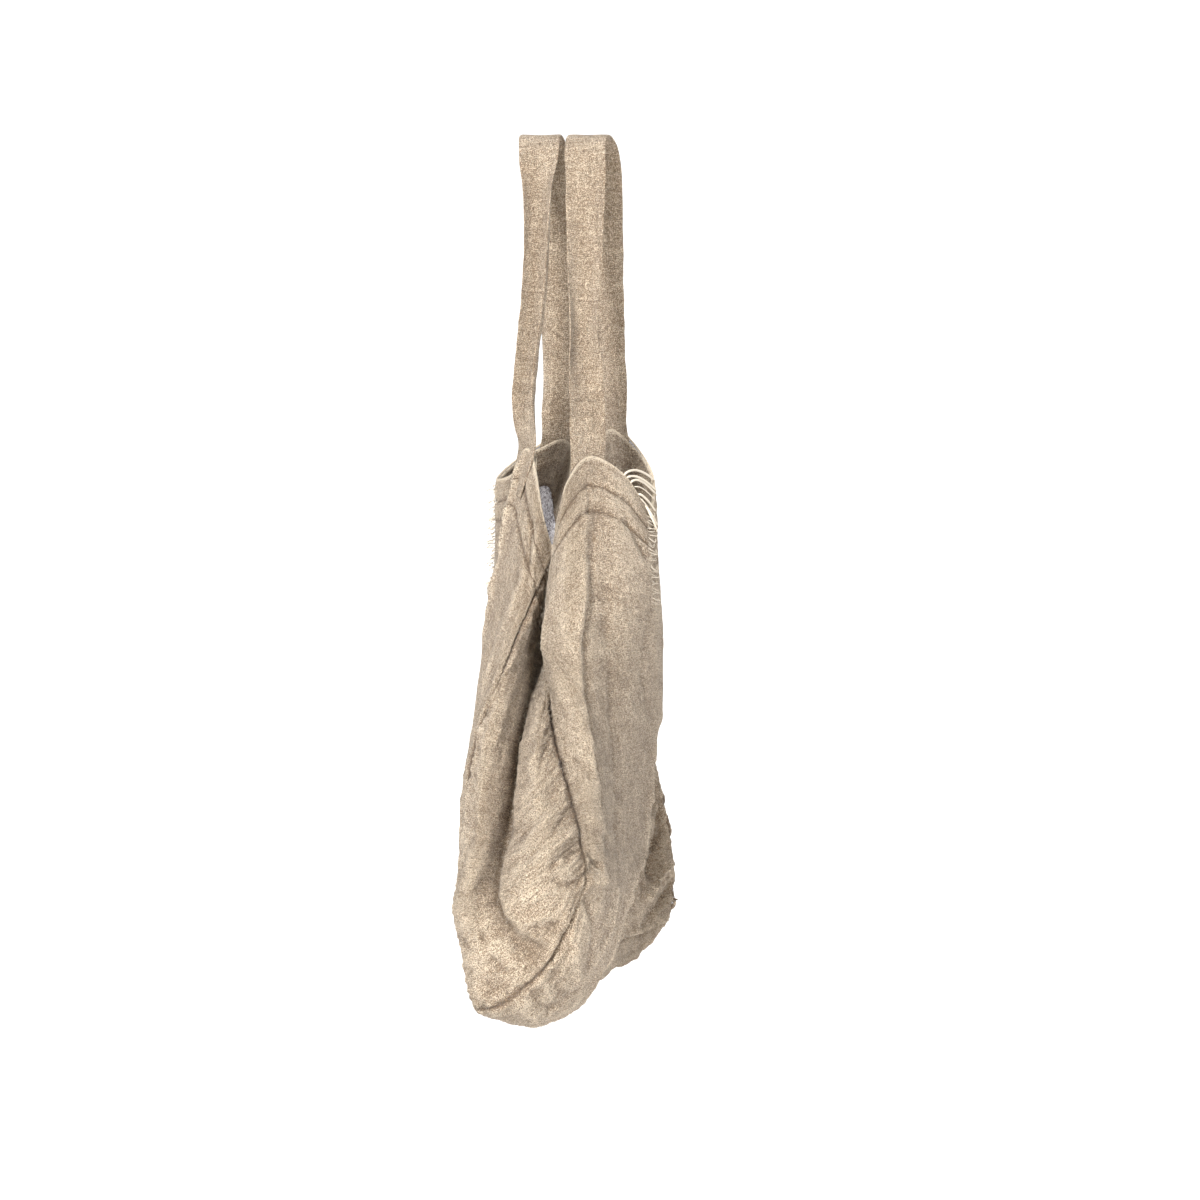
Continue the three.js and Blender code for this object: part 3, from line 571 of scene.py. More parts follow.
# %% The creases, each as (row, column) points, height and width, all in mm
STRIP_CREASES = (
    (((-10, 112), (20, 109), (34, 111), (48, 104), (84, 94), (130, 84)), 4.2, 6),
    (((14, 125), (40, 121), (64, 112), (110, 101)), -1.9, 8),
    (((60, 50), (110, 58), (170, 52)), -1.6, 7), (((30, 26), (80, 34), (150, 30)), 1.8, 7),
    (((880, 103), (796, 94), (726, 50), (680, 34), (624, 32), (500, 26)), 2.8, 10),
    (((850, 128), (764, 116), (700, 92), (614, 88), (520, 74)), -2.6, 14),
    (((872, 104), (848, 103)), -2.2, 3), (((858, 138), (846, 154), (836, 168)), -2.2, 4),
    (((800, 170), (740, 150), (690, 160)), -1.8, 8), (((830, 60), (790, 30), (770, 8)), 1.6, 7),
    (((572, 0), (544, 8), (526, 26)), -3.2, 4), (((560, 14), (542, 26)), 2.0, 4),
    (((512, -2), (514, 20), (522, 42)), 3.4, 5), (((530, -2), (526, 18)), -2.2, 3),
    (((500, 0), (488, 30), (462, 62)), -2.4, 5), (((474, 0), (466, 22), (452, 52)), 2.2, 5),
    (((448, 0), (442, 30), (452, 66)), -2.0, 5), (((428, 0), (424, 24), (436, 56)), -2.4, 4),
    (((412, 4), (418, 34), (410, 70)), 2.2, 5), (((462, 62), (482, 80), (520, 78)), 2.0, 6),
    (((610, 10), (590, 24), (560, 60)), 1.6, 6), (((690, 4), (668, 22), (640, 30)), -1.4, 5),
    (((640, 346), (600, 326), (566, 318)), -4.5, 5), (((612, 346), (572, 318), (532, 296)), -5.0, 5),
    (((562, 348), (540, 316), (510, 290)), 5.0, 5), (((536, 348), (512, 322), (478, 296)), -4.6, 5),
    (((486, 346), (480, 316), (466, 286)), 3.4, 5), (((462, 344), (462, 306), (456, 276)), -3.6, 4),
    (((640, 320), (616, 300), (590, 296)), 2.2, 6), (((356, 8), (340, 40), (322, 60)), -2.2, 5),
    (((700, 186), (650, 178), (610, 168), (562, 160), (516, 146), (470, 134), (440, 124)), 3.6, 9),
    (((690, 212), (650, 206), (600, 205), (550, 205), (500, 195), (455, 180)), -7.0, 16),
    (((660, 340), (620, 322), (575, 300)), -2.4, 5), (((512, 346), (500, 322), (486, 300)), 3.0, 4),
    (((880, 114), (796, 104), (726, 60), (680, 44), (624, 42), (530, 40)), -3.0, 6),
    (((12, 56), (24, 40), (36, 28), (50, 12)), -1.9, 3), (((8, 36), (24, 26), (44, 8)), 1.8, 4),
    (((26, 58), (33, 36), (28, 12)), -1.7, 3), (((46, 46), (38, 24), (48, 6)), 1.6, 4))
GUSSET_CREASES = (
    (((366, 38), (370, 22), (379, 4)), -2.6, 4), (((380, 30), (364, 42), (346, 40)), -2.4, 4),
    (((352, 20), (338, 38), (318, 44)), 2.2, 5), (((328, 8), (336, 26), (352, 30)), -1.8, 5),
    (((200, 58), (254, 56), (312, 48), (350, 38), (370, 22)), -2.4, 12),
    (((230, 72), (290, 68), (340, 58), (368, 46)), 1.3, 15), (((378, 76), (356, 70), (346, 56)), -2.4, 4),
    (((374, 98), (350, 90), (338, 76)), 2.2, 5), (((364, 124), (350, 108), (326, 104)), -2.6, 4),
    (((330, 124), (338, 104), (330, 88)), 2.0, 4), (((310, 126), (318, 104)), -2.0, 4),
    (((286, 126), (300, 106), (304, 88)), 1.8, 4), (((262, 126), (278, 106), (284, 90)), -1.8, 4),
    (((240, 126), (256, 104)), 1.6, 4), (((222, 126), (240, 102), (250, 84)), -1.7, 4),
    (((196, 126), (216, 106), (224, 92)), 1.5, 4), (((176, 126), (198, 102)), -1.6, 4),
    (((152, 126), (176, 104), (188, 88)), 1.5, 4), (((136, 124), (156, 102)), -1.4, 4),
    (((60, 30), (120, 26), (190, 34)), 1.5, 8), (((200, 14), (260, 22), (310, 18)), -1.6, 7))
print("single creases:", len(STRIP_CREASES), "on the strip,", len(GUSSET_CREASES), "on each gusset")

# %% Relief of the strip
gather = soft_noise(alongs, acrosses, (7, 16), 57)
gather = gather * (0.6 + 0.4 * soft_noise(alongs, acrosses, (60, 90), 58))
crush = 0.5 + 1.0 * np.exp(-seam_distance / 26) + 1.3 * base_nearness * (0.4 + 0.6 * patches)
crush = crush * np.clip(rim_distance / 60, 0, 1)
strip_relief = (hem_relief(alongs, acrosses, rim_distance, 51) + seam_relief(seam_distance, gather)
                + crumple_relief(alongs, acrosses, 1.7, 61) * crush)
near_seam_ease = 0.45 + 0.55 * np.clip(seam_distance / 8, 0, 1)
for line in all_creases(alongs, acrosses, STRIP_CREASES, 100):
    strip_relief += line * near_seam_ease
strip_way = outward(strip, True)
print("relief of the strip:", np.round([strip_relief.min(), strip_relief.max()], 2).tolist(), "mm")

# %% Relief of the gussets, with one direction on each seam
border = (np.concatenate([np.arange(DOWN_STEPS + 1), np.full(BASE_STEPS - 1, DOWN_STEPS),
                          np.arange(DOWN_STEPS, -1, -1)]),
          np.concatenate([np.zeros(DOWN_STEPS + 1, int), np.arange(1, BASE_STEPS),
                          np.full(DOWN_STEPS + 1, BASE_STEPS)]))


def gusset_relief(distance, seed):
    """The same relief for a gusset; distance is how far each point is from its sewn edges."""
    rows, columns = downs, gusset_acrosses
    gathered = soft_noise(rows, columns, (7, 8), seed)
    crushed = (0.7 + 1.2 * np.exp(-distance / 22)) * np.clip(downs[:, None] / 60, 0, 1)
    return (hem_relief(rows, columns, np.broadcast_to(downs[:, None], distance.shape), seed + 1)
            + seam_relief(distance, gathered) + crumple_relief(rows, columns, 2.2, seed + 2) * crushed
            + sum(all_creases(rows, columns, GUSSET_CREASES, seed + 3)))


def sewn_relief(gusset, relief, flip, column):
    """Moves a gusset by its relief and gives it and the strip one direction on their seam: the
    middle of both directions there, which eases into the gusset's own over 8 mm."""
    way = outward(gusset, flip)
    seam_way = unit(way[border] + strip_way[:, column])
    ease = bump(gusset_acrosses, 0, 8)
    left, right = seam_way[: DOWN_STEPS + 1, None], seam_way[::-1][: DOWN_STEPS + 1, None]
    foot = seam_way[DOWN_STEPS : DOWN_STEPS + BASE_STEPS + 1][None]
    foot_ease = bump(PANEL_HEIGHT - downs, 0, 8)[:, None, None]
    pull = left * ease[None, :, None] + right * ease[None, ::-1, None] + foot * foot_ease
    way = unit(way + 3 * pull)
    way[border] = seam_way
    relief[border] = strip_relief[:, column]
    return gusset + way * relief[:, :, None], seam_way


near_gusset, near_way = sewn_relief(near_gusset, gusset_relief(gusset_edge, 52), False, 0)
far_gusset, far_way = sewn_relief(far_gusset, gusset_relief(gusset_edge, 62), True, -1)
for seam_way, distances in ((near_way, acrosses), (far_way, PANEL_WIDTH - acrosses)):
    strip_way = strip_way + 3 * seam_way[:, None] * bump(distances, 0, 8)[None, :, None]
strip_way = unit(strip_way)
strip_way[:, 0], strip_way[:, -1] = near_way, far_way
strip = strip + strip_way * strip_relief[:, :, None]
strip_out = outward(strip, True)
print("the seams share", len(near_way), "and", len(far_way), "directions")

# %% [markdown]
# ## Painted shade and highlight
# The linen is painted darker in its grooves and hollows, which is painted shade, and paler on
# its ridges and rolled rim, which is painted highlight. A seam shows the brown turned-in cloth on
# the inside. A colour ramp on Blender's own Pointiness would do it, but not every renderer has
# that. So we measure how hollow each point is and keep it as an attribute.

# %% Grooves, hollows and sewn edges
# weight of the painted shade in hollows and the painted highlight on ridges
PAINTED_HOLLOW_SHADE = 0.2


def grooves(hem, seam):
    """How far a point lies in a groove, up to 1: the hem lines and the seams, which the linen
    paints darker as painted shade. Below 0 it is a painted highlight: the rolled rim."""
    lines = 0.35 * sum(bump(hem, line, 1.3) for line in HEM_LINES) + 0.8 * bump(seam, 0, 1.5)
    return np.clip(lines, 0, 1) - 0.8 * bump(hem, 0, 1.5)


def hollowness(grid, flip):
    """How hollow the cloth is at each point, from -1 on a sharp ridge to 1 in a sharp valley: the
    height of the neighbours' mean over the point, in mm, at two and at five steps away."""
    hollow = 0
    for step, weight in ((2, 0.8), (5, 0.25)):
        wide = np.pad(grid, ((step, step), (step, step), (0, 0)), mode="edge")
        mean = (wide[: -2 * step, step:-step] + wide[2 * step :, step:-step]
                + wide[step:-step, : -2 * step] + wide[step:-step, 2 * step :]) / 4
        hollow = hollow + weight * np.sum((mean - grid) * outward(grid, flip), axis=2)
    return np.clip(hollow, -1, 1)


def mark_grooves(piece, grid, flip, rows, columns, foot=None):
    """Writes two point attributes that the linen reads: painted shade and highlight, and the sewn-in edge."""
    hem = np.maximum(np.minimum(rows, STRIP_LENGTH - rows) if foot is None else rows, 0)[:, None]
    seam = np.minimum(columns, columns[-1] - columns)[None, :]
    if foot is not None:
        seam = np.minimum(seam, (foot - rows)[:, None])
    seam = np.abs(seam) * np.ones((len(rows), len(columns)))
    inside = np.clip(np.minimum(seam, hem) / 6, 0, 1)
    # painted shade in grooves and hollows, painted highlight on ridges and the rolled rim
    values = grooves(hem, seam) + PAINTED_HOLLOW_SHADE * hollowness(grid, flip) * inside
    write_values(piece, "groove", values)
    write_values(piece, "sewn_edge", bump(seam, 0, 2.5))


def on_strip(along, across, depth):
    """A point that lies `depth` under the strip's outer face."""
    normal = between(strip_out, alongs, along, across)
    return between(strip, alongs, along, across) - normal * np.asarray(depth)[..., None]


hollow = hollowness(strip, True)
print("mean wear of the strip:", round(float(np.abs(hollow).mean()), 3))


# %% [markdown]
# ## The rims
# The strip ends in two rims. On the real bag the cloth is turned over there and sewn down, so
# its edge is a soft roll that catches the light, not a cut. A bevel would round only the thin
# edge, so we carry the grid round the roll with a few more rows. The gussets get the same roll.

# %% Body cloth and gussets
ROLL_RADIUS, ROLL_STEP = 0.95, 0.5
left_roll = rolled_rim(strip, True, ROLL_RADIUS)
right_roll = rolled_rim(strip[::-1], False, ROLL_RADIUS)[::-1]
roll_rows = np.arange(-len(left_roll), 0) * ROLL_STEP
body_grid = np.concatenate([left_roll, strip, right_roll])
body_alongs = np.concatenate([roll_rows, alongs, STRIP_LENGTH - roll_rows[::-1]])
body = cloth_piece("strip_of_cloth", body_grid, body_alongs, acrosses, True, CLOTH_THICKNESS)
near_grid = np.concatenate([rolled_rim(near_gusset, False, ROLL_RADIUS), near_gusset])
far_grid = np.concatenate([rolled_rim(far_gusset, True, ROLL_RADIUS), far_gusset])
gusset_rows = np.concatenate([roll_rows, downs])
near_piece = cloth_piece("near_gusset_cloth", near_grid, gusset_rows, gusset_acrosses, False, CLOTH_THICKNESS)
far_piece = cloth_piece("far_gusset_cloth", far_grid, gusset_rows, gusset_acrosses, True, CLOTH_THICKNESS)
mark_grooves(body, body_grid, True, body_alongs, acrosses)
mark_grooves(near_piece, near_grid, False, gusset_rows, gusset_acrosses, PANEL_HEIGHT)
mark_grooves(far_piece, far_grid, True, gusset_rows, gusset_acrosses, PANEL_HEIGHT)
print("body faces:", len(body.data.polygons), "gusset faces:", len(near_piece.data.polygons))

# %% [markdown]
# ## The facing
# Inside the mouth lies a strip of the outer cloth, 36 mm deep, that hides the ends of the
# straps. It lies close to the panel, but stands off where a strap is sewn in behind it. A copy
# of the cloth with a Displace modifier would cut into the straps' ends there. So each point is
# put at a chosen depth under the cloth's outer face.

# %% Facing round the mouth
OUTER_GAP, STRAP_ROOM, FACING_STEPS = 1.9, 2.3, 12
facing_downs = np.linspace(0.4, FACING_DEPTH, FACING_STEPS + 1)


def facing_depth(across):
    """Depth of the facing under the outer face: OUTER_GAP, and more by STRAP_ROOM over each strap's
    end, with an S-shaped step 1 / (1 + e^x) on both sides of it."""
    room = sum(1 / (1 + np.exp((np.abs(across - strap) - STRAP_WIDTH / 2 - 3) / 1.6))
               for strap in (NEAR_STRAP, FAR_STRAP))
    return OUTER_GAP + STRAP_ROOM * room


def panel_facing(side):
    """Grid of the facing behind a panel, from 5 mm off one seam to 5 mm off the other."""
    over = np.linspace(5, PANEL_WIDTH - 5, 126)
    down, over = np.meshgrid(facing_downs, over, indexing="ij")
    along = down if side == "left" else STRIP_LENGTH - down
    return on_strip(along, over, facing_depth(over)), down, over


def gusset_facing(grid, flip):
    """Grid of the facing behind a gusset, 6 mm off its seams, on the gusset's own points."""
    columns = slice(4, -4)
    down, over = np.meshgrid(facing_downs, gusset_acrosses[columns], indexing="ij")
    inner = grid - outward(grid, flip) * OUTER_GAP
    i, u = line_at(downs, facing_downs)
    u = u[:, None, None]
    return ((1 - u) * inner[i] + u * inner[i + 1])[:, columns], down, over


parts = [(*panel_facing("left"), True), (*panel_facing("right"), False),
         (*gusset_facing(near_gusset, False), False), (*gusset_facing(far_gusset, True), True)]
points, faces, uvs, start = [], [], [], 0
for grid, down, over, flip in parts:
    points.append(grid.reshape(-1, 3))
    faces.append(grid_faces(*grid.shape[:2], flip, start))
    uvs.append(np.stack([over, down], axis=2).reshape(-1, 2) / 100)
    start += grid.shape[0] * grid.shape[1]
facing = smooth_mesh("mouth_facing", np.concatenate(points), np.concatenate(faces), np.concatenate(uvs))
far_from_seams = 99.0
# painted shade along the facing's stitch lines and painted highlight at its top edge
facing_groove_shade = [grooves(down, far_from_seams).ravel() for _, down, _, _ in parts]
write_values(facing, "groove", np.concatenate(facing_groove_shade))
thick = facing.modifiers.new("Thickness", "SOLIDIFY")
thick.thickness, thick.offset = FACING_THICKNESS / 1000, -1
print("facing faces:", len(facing.data.polygons))

# %% [markdown]
# ## The straps
# A strap is linen folded twice and sewn along its edges. It rises from between the panel and
# the facing, lies flat over the line that it hangs from, and comes down again. On the way its
# width turns from the direction of the rim to the direction of the line. A loaded strap also
# folds along its middle and drifts a few millimetres to one side. The fold is a flat arc: a
# point at q from -1 to 1 of the half width w moves to sin(fold q)/fold w over and
# (1 - cos(fold q))/fold w up. A curve with a bevel can't change its section on the way, so we
# carry this one along three threads.

# %% Three threads of a strap
STRAP_STEP, STRAP_MIDDLE = 3.0, 2.75
TUCK_POINTS, FREE_POINTS, CROWN_POINTS = 11, 80, 31


def moving_mean(values, reach):
    """Smooths rows with a window of weights 1 - (step/reach)^2, ends kept in place."""
    steps = np.arange(-reach, reach + 1)
    window = 1 - (steps / (reach + 1)) ** 2
    window /= window.sum()
    padded = np.concatenate([2 * values[:1] - values[reach:0:-1], values,
                             2 * values[-1:] - values[-2 : -reach - 2 : -1]])
    return sum(w * padded[k : k + len(values)] for k, w in enumerate(window))


def strap_lines(side):
    """Three threads of a strap, q = -1, 0 and 1, as points 3 mm apart from one tuck to the other:
    up the panel's inside, straight to the half circle over the hanging line, and down."""
    outwards = -1 if side == "left" else 1
    centre = outwards * (CROWN_GAP / 2 + STRAP_WIDTH / 2)
    radius = HANGING_RADIUS + STRAP_THICKNESS / 2
    lines = []
    for q in (-1, 0, 1):
        x = centre + outwards * q * STRAP_WIDTH / 2
        ends, angles = [], []
        for strap, turn in ((NEAR_STRAP, 1), (FAR_STRAP, -1)):
            depths = np.linspace(STRAP_TUCK, 0, TUCK_POINTS)
            along = depths if side == "left" else STRIP_LENGTH - depths
            across = np.full(TUCK_POINTS, strap + turn * q * STRAP_WIDTH / 2)
            tuck = on_strip(along, across, np.full(TUCK_POINTS, STRAP_MIDDLE))
            y, z = tuck[-1, 1], tuck[-1, 2] + HANGING_RADIUS
            tangent = np.arccos(radius / np.hypot(y, z))
            angles.append(np.arctan2(z, y) + (2 * np.pi - tangent if turn == 1 else tangent))
            ends.append(tuck)
        t = np.linspace(angles[0], angles[1], CROWN_POINTS)
        over = np.stack([0 * t + x, radius * np.cos(t), radius * np.sin(t) - HANGING_RADIUS], 1)
        u = np.linspace(0, 1, FREE_POINTS + 2)[1:-1, None]
        rise = (1 - u) * ends[0][-1] + u * over[0]
        fall = (1 - u) * over[-1] + u * ends[1][-1]
        lines.append(np.concatenate([ends[0], rise, over, fall, ends[1][::-1]]))
    return lines


print("points along a strap:", len(strap_lines("left")[1]))

# %% How the straps fold and drift
# places (0 near rim, 0.5 crown, 1 far rim), then the fold angle there in radians, or how far
# the strap lies to the right of its straight line in mm
STRAP_FOLDS = {
    "left": ([0, 0.03, 0.053, 0.09, 0.155, 0.24, 0.315, 0.374, 0.405, 0.43, 0.56, 0.7, 0.8, 0.9, 0.96, 1],
             [0, 0.6, 1.05, 1.42, 1.68, 1.72, 1.7, 1.5, 0.9, 0.1, 0.1, 0.7, 1.1, 1.3, 0.9, 0]),
    "right": ([0, 0.04, 0.09, 0.125, 0.15, 0.17, 0.2, 0.247, 0.315, 0.38, 0.43, 0.56, 0.7, 0.9, 1],
              [0, 0.1, 0.6, 0.9, 1.4, 1.7, 1.55, 1.15, 0.95, 0.5, 0.1, 0.1, 0.6, 0.5, 0]),
}
STRAP_DRIFTS = {
    "left": ([0, 0.053, 0.09, 0.155, 0.208, 0.26, 0.315, 0.374, 0.425, 0.5, 0.56, 0.8, 0.92, 1],
             [0, 0, 0.8, 3.0, 6.0, 6.8, 7.0, 6.0, 5.0, 0.5, 1.0, 3.0, 3.0, 0]),
    "right": ([0, 0.053, 0.09, 0.168, 0.247, 0.315, 0.4, 0.5, 0.57, 0.6, 0.685, 0.765, 0.83, 0.9, 1],
              [0, 0, -1.0, -3.6, 0.4, 2.9, 5.2, 1.5, 6.0, 7.0, 4.0, 2.0, 1.0, 0, 0]),
}
print("largest drift:", max(STRAP_DRIFTS["left"][1] + STRAP_DRIFTS["right"][1]), "mm")


# %% The skin of a strap
STRAP_SECTION, SMOOTH_REACH, EDGE_STITCH = 15, 6, 0.84


def strap_frame(side):
    """For each point along a strap: its middle with the drift, its place from 0 to 1, and the unit
    directions of its width and of its face, both square to the path."""
    low, middle, high = (moving_mean(line, 4) for line in strap_lines(side))
    count = len(middle)
    place = np.clip((np.arange(count) - (TUCK_POINTS - 1)) / (count - 2 * TUCK_POINTS + 1), 0, 1)
    middle[:, 0] += moving_mean(np.interp(place, *STRAP_DRIFTS[side])[:, None], SMOOTH_REACH)[:, 0]
    path = np.gradient(middle, axis=0)
    path /= np.linalg.norm(path, axis=1, keepdims=True)
    width = high - low
    width -= path * np.sum(width * path, axis=1, keepdims=True)
    width /= np.linalg.norm(width, axis=1, keepdims=True)
    normal = np.cross(width, path) if side == "left" else np.cross(path, width)
    return middle, place, width, normal


def strap(side, seed):
    """Closed skin of a strap: each section is a flat oval, superellipse power 8, on the fold, with
    small waves and a groove of stitches near both edges."""
    middle, place, width, normal = strap_frame(side)
    count, half = len(middle), STRAP_WIDTH / 2
    tucked = np.minimum(np.arange(count), np.arange(count)[::-1]) / (TUCK_POINTS - 1)
    fold = np.maximum(np.interp(place, *STRAP_FOLDS[side]), 1e-3)
    fold = np.maximum(moving_mean(fold[:, None], SMOOTH_REACH)[:, 0], 1e-3)[:, None]
    angle = np.linspace(0, np.pi, STRAP_SECTION)
    q = np.cos(angle)[None, :]
    run, over_width = np.arange(count) * STRAP_STEP, np.linspace(0, STRAP_WIDTH, STRAP_SECTION)
    wave = soft_noise(run, over_width, (8, 8), seed) * 0.45
    wave += soft_noise(run, over_width, (24, 16), seed + 1) * 0.6
    wave *= np.clip(tucked, 0, 1)[:, None] * (0.4 + 0.6 * (fold > 0.15))
    edge = soft_noise(run, np.array([0.0, 1.0]), (14, 2), seed + 2)
    across = np.sin(fold * q) / fold * half * (1 + 0.02 * edge[:, :1])
    up = -(1 - np.cos(fold * q)) / fold * half + wave
    slope = fold * q
    mid = middle[:, None] + width[:, None] * across[:, :, None] + normal[:, None] * up[:, :, None]
    face = (normal[:, None] * np.cos(slope)[:, :, None] + width[:, None] * np.sin(slope)[:, :, None])
    groove = 0.22 * bump(np.abs(q), EDGE_STITCH, 0.05)
    thick = STRAP_THICKNESS / 2 * (np.maximum(1 - np.abs(q) ** 8, 0) ** 0.5) - groove
    thick = np.clip(thick, 0.02, None) * (1 - 0.12 * (tucked < 1)[:, None])
    front = mid + face * thick[:, :, None]
    back = mid - face * thick[:, :, None]
    ring = np.concatenate([front, back[:, ::-1]], axis=1)
    return ring, np.cumsum(np.r_[0, np.linalg.norm(np.diff(middle, axis=0), axis=1)]), q[0] * half


print("points round a strap:", 2 * STRAP_SECTION)

# %% The straps as closed tubes
def strap_piece(side, seed):
    """The strap's rings joined into a tube, with a flat face over each end."""
    ring, length, over = strap(side, seed)
    rows, columns = ring.shape[:2]
    faces = tube_faces(1, rows, columns, side == "left")
    u = np.concatenate([over, 2 * STRAP_WIDTH - over[::-1]])
    uvs = np.stack(np.meshgrid(u, length), axis=2).reshape(-1, 2) / 100
    piece = smooth_mesh(f"{side}_strap", ring.reshape(-1, 3), faces, uvs)
    for end in piece.data.polygons[-2:]:
        end.use_smooth = False
    print(side, "strap:", round(float(length[-1])), "mm of strap,", len(piece.data.polygons), "faces")
    return piece


left_strap = strap_piece("left", 61)
right_strap = strap_piece("right", 71)

# %% [markdown]
# ## Stitches
# Two rows of sewing thread run round the mouth. A stitch is a short bead of thread that sinks
# into the cloth at both ends. Drawn stitches would stay flat at the rim's outline. An Array
# modifier along a curve could repeat a real one, but each stitch has to lie on relaxed cloth. So
# the place and direction of each are measured on the grid.

# %% Rows of stitches
def beads(name, centres, along, up, length, radius):
    """One mesh of small six-sided beads of three rings: half a length before the middle, in it and
    half a length after it, with 0.3, 1 and 0.3 times the radius."""
    side = np.cross(along, up)
    turn = np.arange(6) * np.pi / 3
    ring = (up[:, None] * np.cos(turn)[:, None] + side[:, None] * np.sin(turn)[:, None])
    rings = []
    for place, size in ((-0.5, 0.3), (0, 1), (0.5, 0.3)):
        rings.append(centres[:, None] + along[:, None] * place * length + ring * radius * size)
    points = np.concatenate(rings, axis=1).reshape(-1, 3)
    return smooth_mesh(name, points, tube_faces(len(centres), 3, 6))


def along_row(points, spacing):
    """Evenly spaced places on a line of points: (segment, share of it) for each."""
    steps = np.linalg.norm(np.diff(points, axis=0), axis=1)
    total = np.r_[0, np.cumsum(steps)]
    places = np.arange(spacing, total[-1] - spacing / 2, spacing)
    i = np.clip(np.searchsorted(total, places, side="right") - 1, 0, len(steps) - 1)
    return i, (places - total[i]) / steps[i]


STITCH_SPACING, STITCH_RADIUS, STITCH_RISE = 3.4, 0.34, 0.12


def stitch_row(name, down):
    """Stitches at one depth under the rim, over both panels and both gussets."""
    centres, ways, ups = [], [], []
    for grid, rows, flip in ((strip, down, True), (strip[::-1], down, False),
                             (near_gusset, down, False), (far_gusset, down, True)):
        row, share = line_at(downs, rows)
        line = (1 - share) * grid[row] + share * grid[row + 1]
        normal = outward(grid, flip)[row]
        i, u = along_row(line, STITCH_SPACING)
        u = u[:, None]
        centres.append((1 - u) * line[i] + u * line[i + 1])
        way = line[i + 1] - line[i]
        ways.append(way / np.linalg.norm(way, axis=1, keepdims=True))
        ups.append(normal[i])
    centre, way, up = map(np.concatenate, (centres, ways, ups))
    return beads(name, centre + up * STITCH_RISE, way, up, STITCH_SPACING * 0.82, STITCH_RADIUS)


upper_stitches = stitch_row("upper_row_of_stitches", HEM_LINES[0])
lower_stitches = stitch_row("lower_row_of_stitches", HEM_LINES[1])
print("faces in the upper row:", len(upper_stitches.data.polygons))

# %% [markdown]
# ## Frayed bands
# Down the middle of each panel the brown cross threads are worn away over the width of a
# finger, and the cream ones are left bare. They are longer than the gap now, so they stand off
# in arcs, and at the right rim the longest bridge its dip. Hair curves could be combed into
# place, but the export needs meshes. A thread is a tube along a + (b - a) t, lifted by 4 t (1 - t)
# times its height. On the right panel the lower threads are thinner, so the row fades out.

# %% Thread tubes
def tubes(name, paths, radius, sides=5):
    """One mesh of many thin tubes; paths is (threads, points, 3) and the ends are closed."""
    count, steps = paths.shape[:2]
    way = np.gradient(paths, axis=1)
    way /= np.maximum(np.linalg.norm(way, axis=2, keepdims=True), 1e-9)
    first = np.cross(way, np.array([0.31, 0.42, 0.85]))
    first /= np.maximum(np.linalg.norm(first, axis=2, keepdims=True), 1e-9)
    second = np.cross(way, first)
    turn = np.arange(sides) * 2 * np.pi / sides
    radius = np.asarray(radius, float).reshape(-1, 1, 1, 1) * np.ones((count, 1, 1, 1))
    taper = np.ones(steps)
    taper[[0, -1]] = 0.35
    ring = (first[:, :, None] * np.cos(turn)[:, None] + second[:, :, None] * np.sin(turn)[:, None])
    points = paths[:, :, None] + ring * radius * taper[:, None, None]
    return smooth_mesh(name, points.reshape(-1, 3), tube_faces(count, steps, sides, inside_out=True))


print("faces of one thread of 11 rings:", len(tube_faces(1, 11, 5)))

# %% The two bands, and the long arcs at the right rim
FRAY_WIDTH, FRAY_TOP, FRAY_LENGTH = 15.0, 4.0, 92.0
THINNING, LOW_THREADS = 35.0, 0.4
ARC_POINTS, RIM_ARCS = 11, 8
ARC_ENDS, ARC_STEPS = (138, 204), (4.2, 2.6)
ARC_LIFTS = ([0, 3, RIM_ARCS - 1], [6.0, 5.5, -3.0])


def worn_threads(side, height, count, seed):
    """Cream threads across the worn band of a panel, in arcs of up to that height."""
    draw = np.random.default_rng(seed)
    down = np.linspace(FRAY_TOP + 1, FRAY_TOP + FRAY_LENGTH - 1, count)
    down = down + draw.uniform(-0.9, 0.9, count)
    t = np.linspace(0, 1, ARC_POINTS)[None, :]
    wide = FRAY_WIDTH * draw.uniform(0.8, 1.15, (count, 1))
    shift = draw.uniform(-1.2, 1.2, (count, 1))
    over = PANEL_WIDTH / 2 + shift + wide * (t - 0.5)
    sag = draw.uniform(-1.5, 3.5, (count, 1)) * 4 * t * (1 - t)
    rows = np.clip(down[:, None] + sag, 1, None)
    along = rows if side == "left" else STRIP_LENGTH - rows
    lift = height * draw.uniform(0.15, 1, (count, 1)) ** 1.5 * 4 * t * (1 - t)
    low = 1.0 if side == "left" else LOW_THREADS
    thin = np.interp(down, [FRAY_TOP, THINNING, FRAY_TOP + FRAY_LENGTH], [1.0, (1 + low) / 2, low])
    return on_strip(along, over, -(0.2 + lift)), draw.uniform(0.28, 0.5, count) * thin


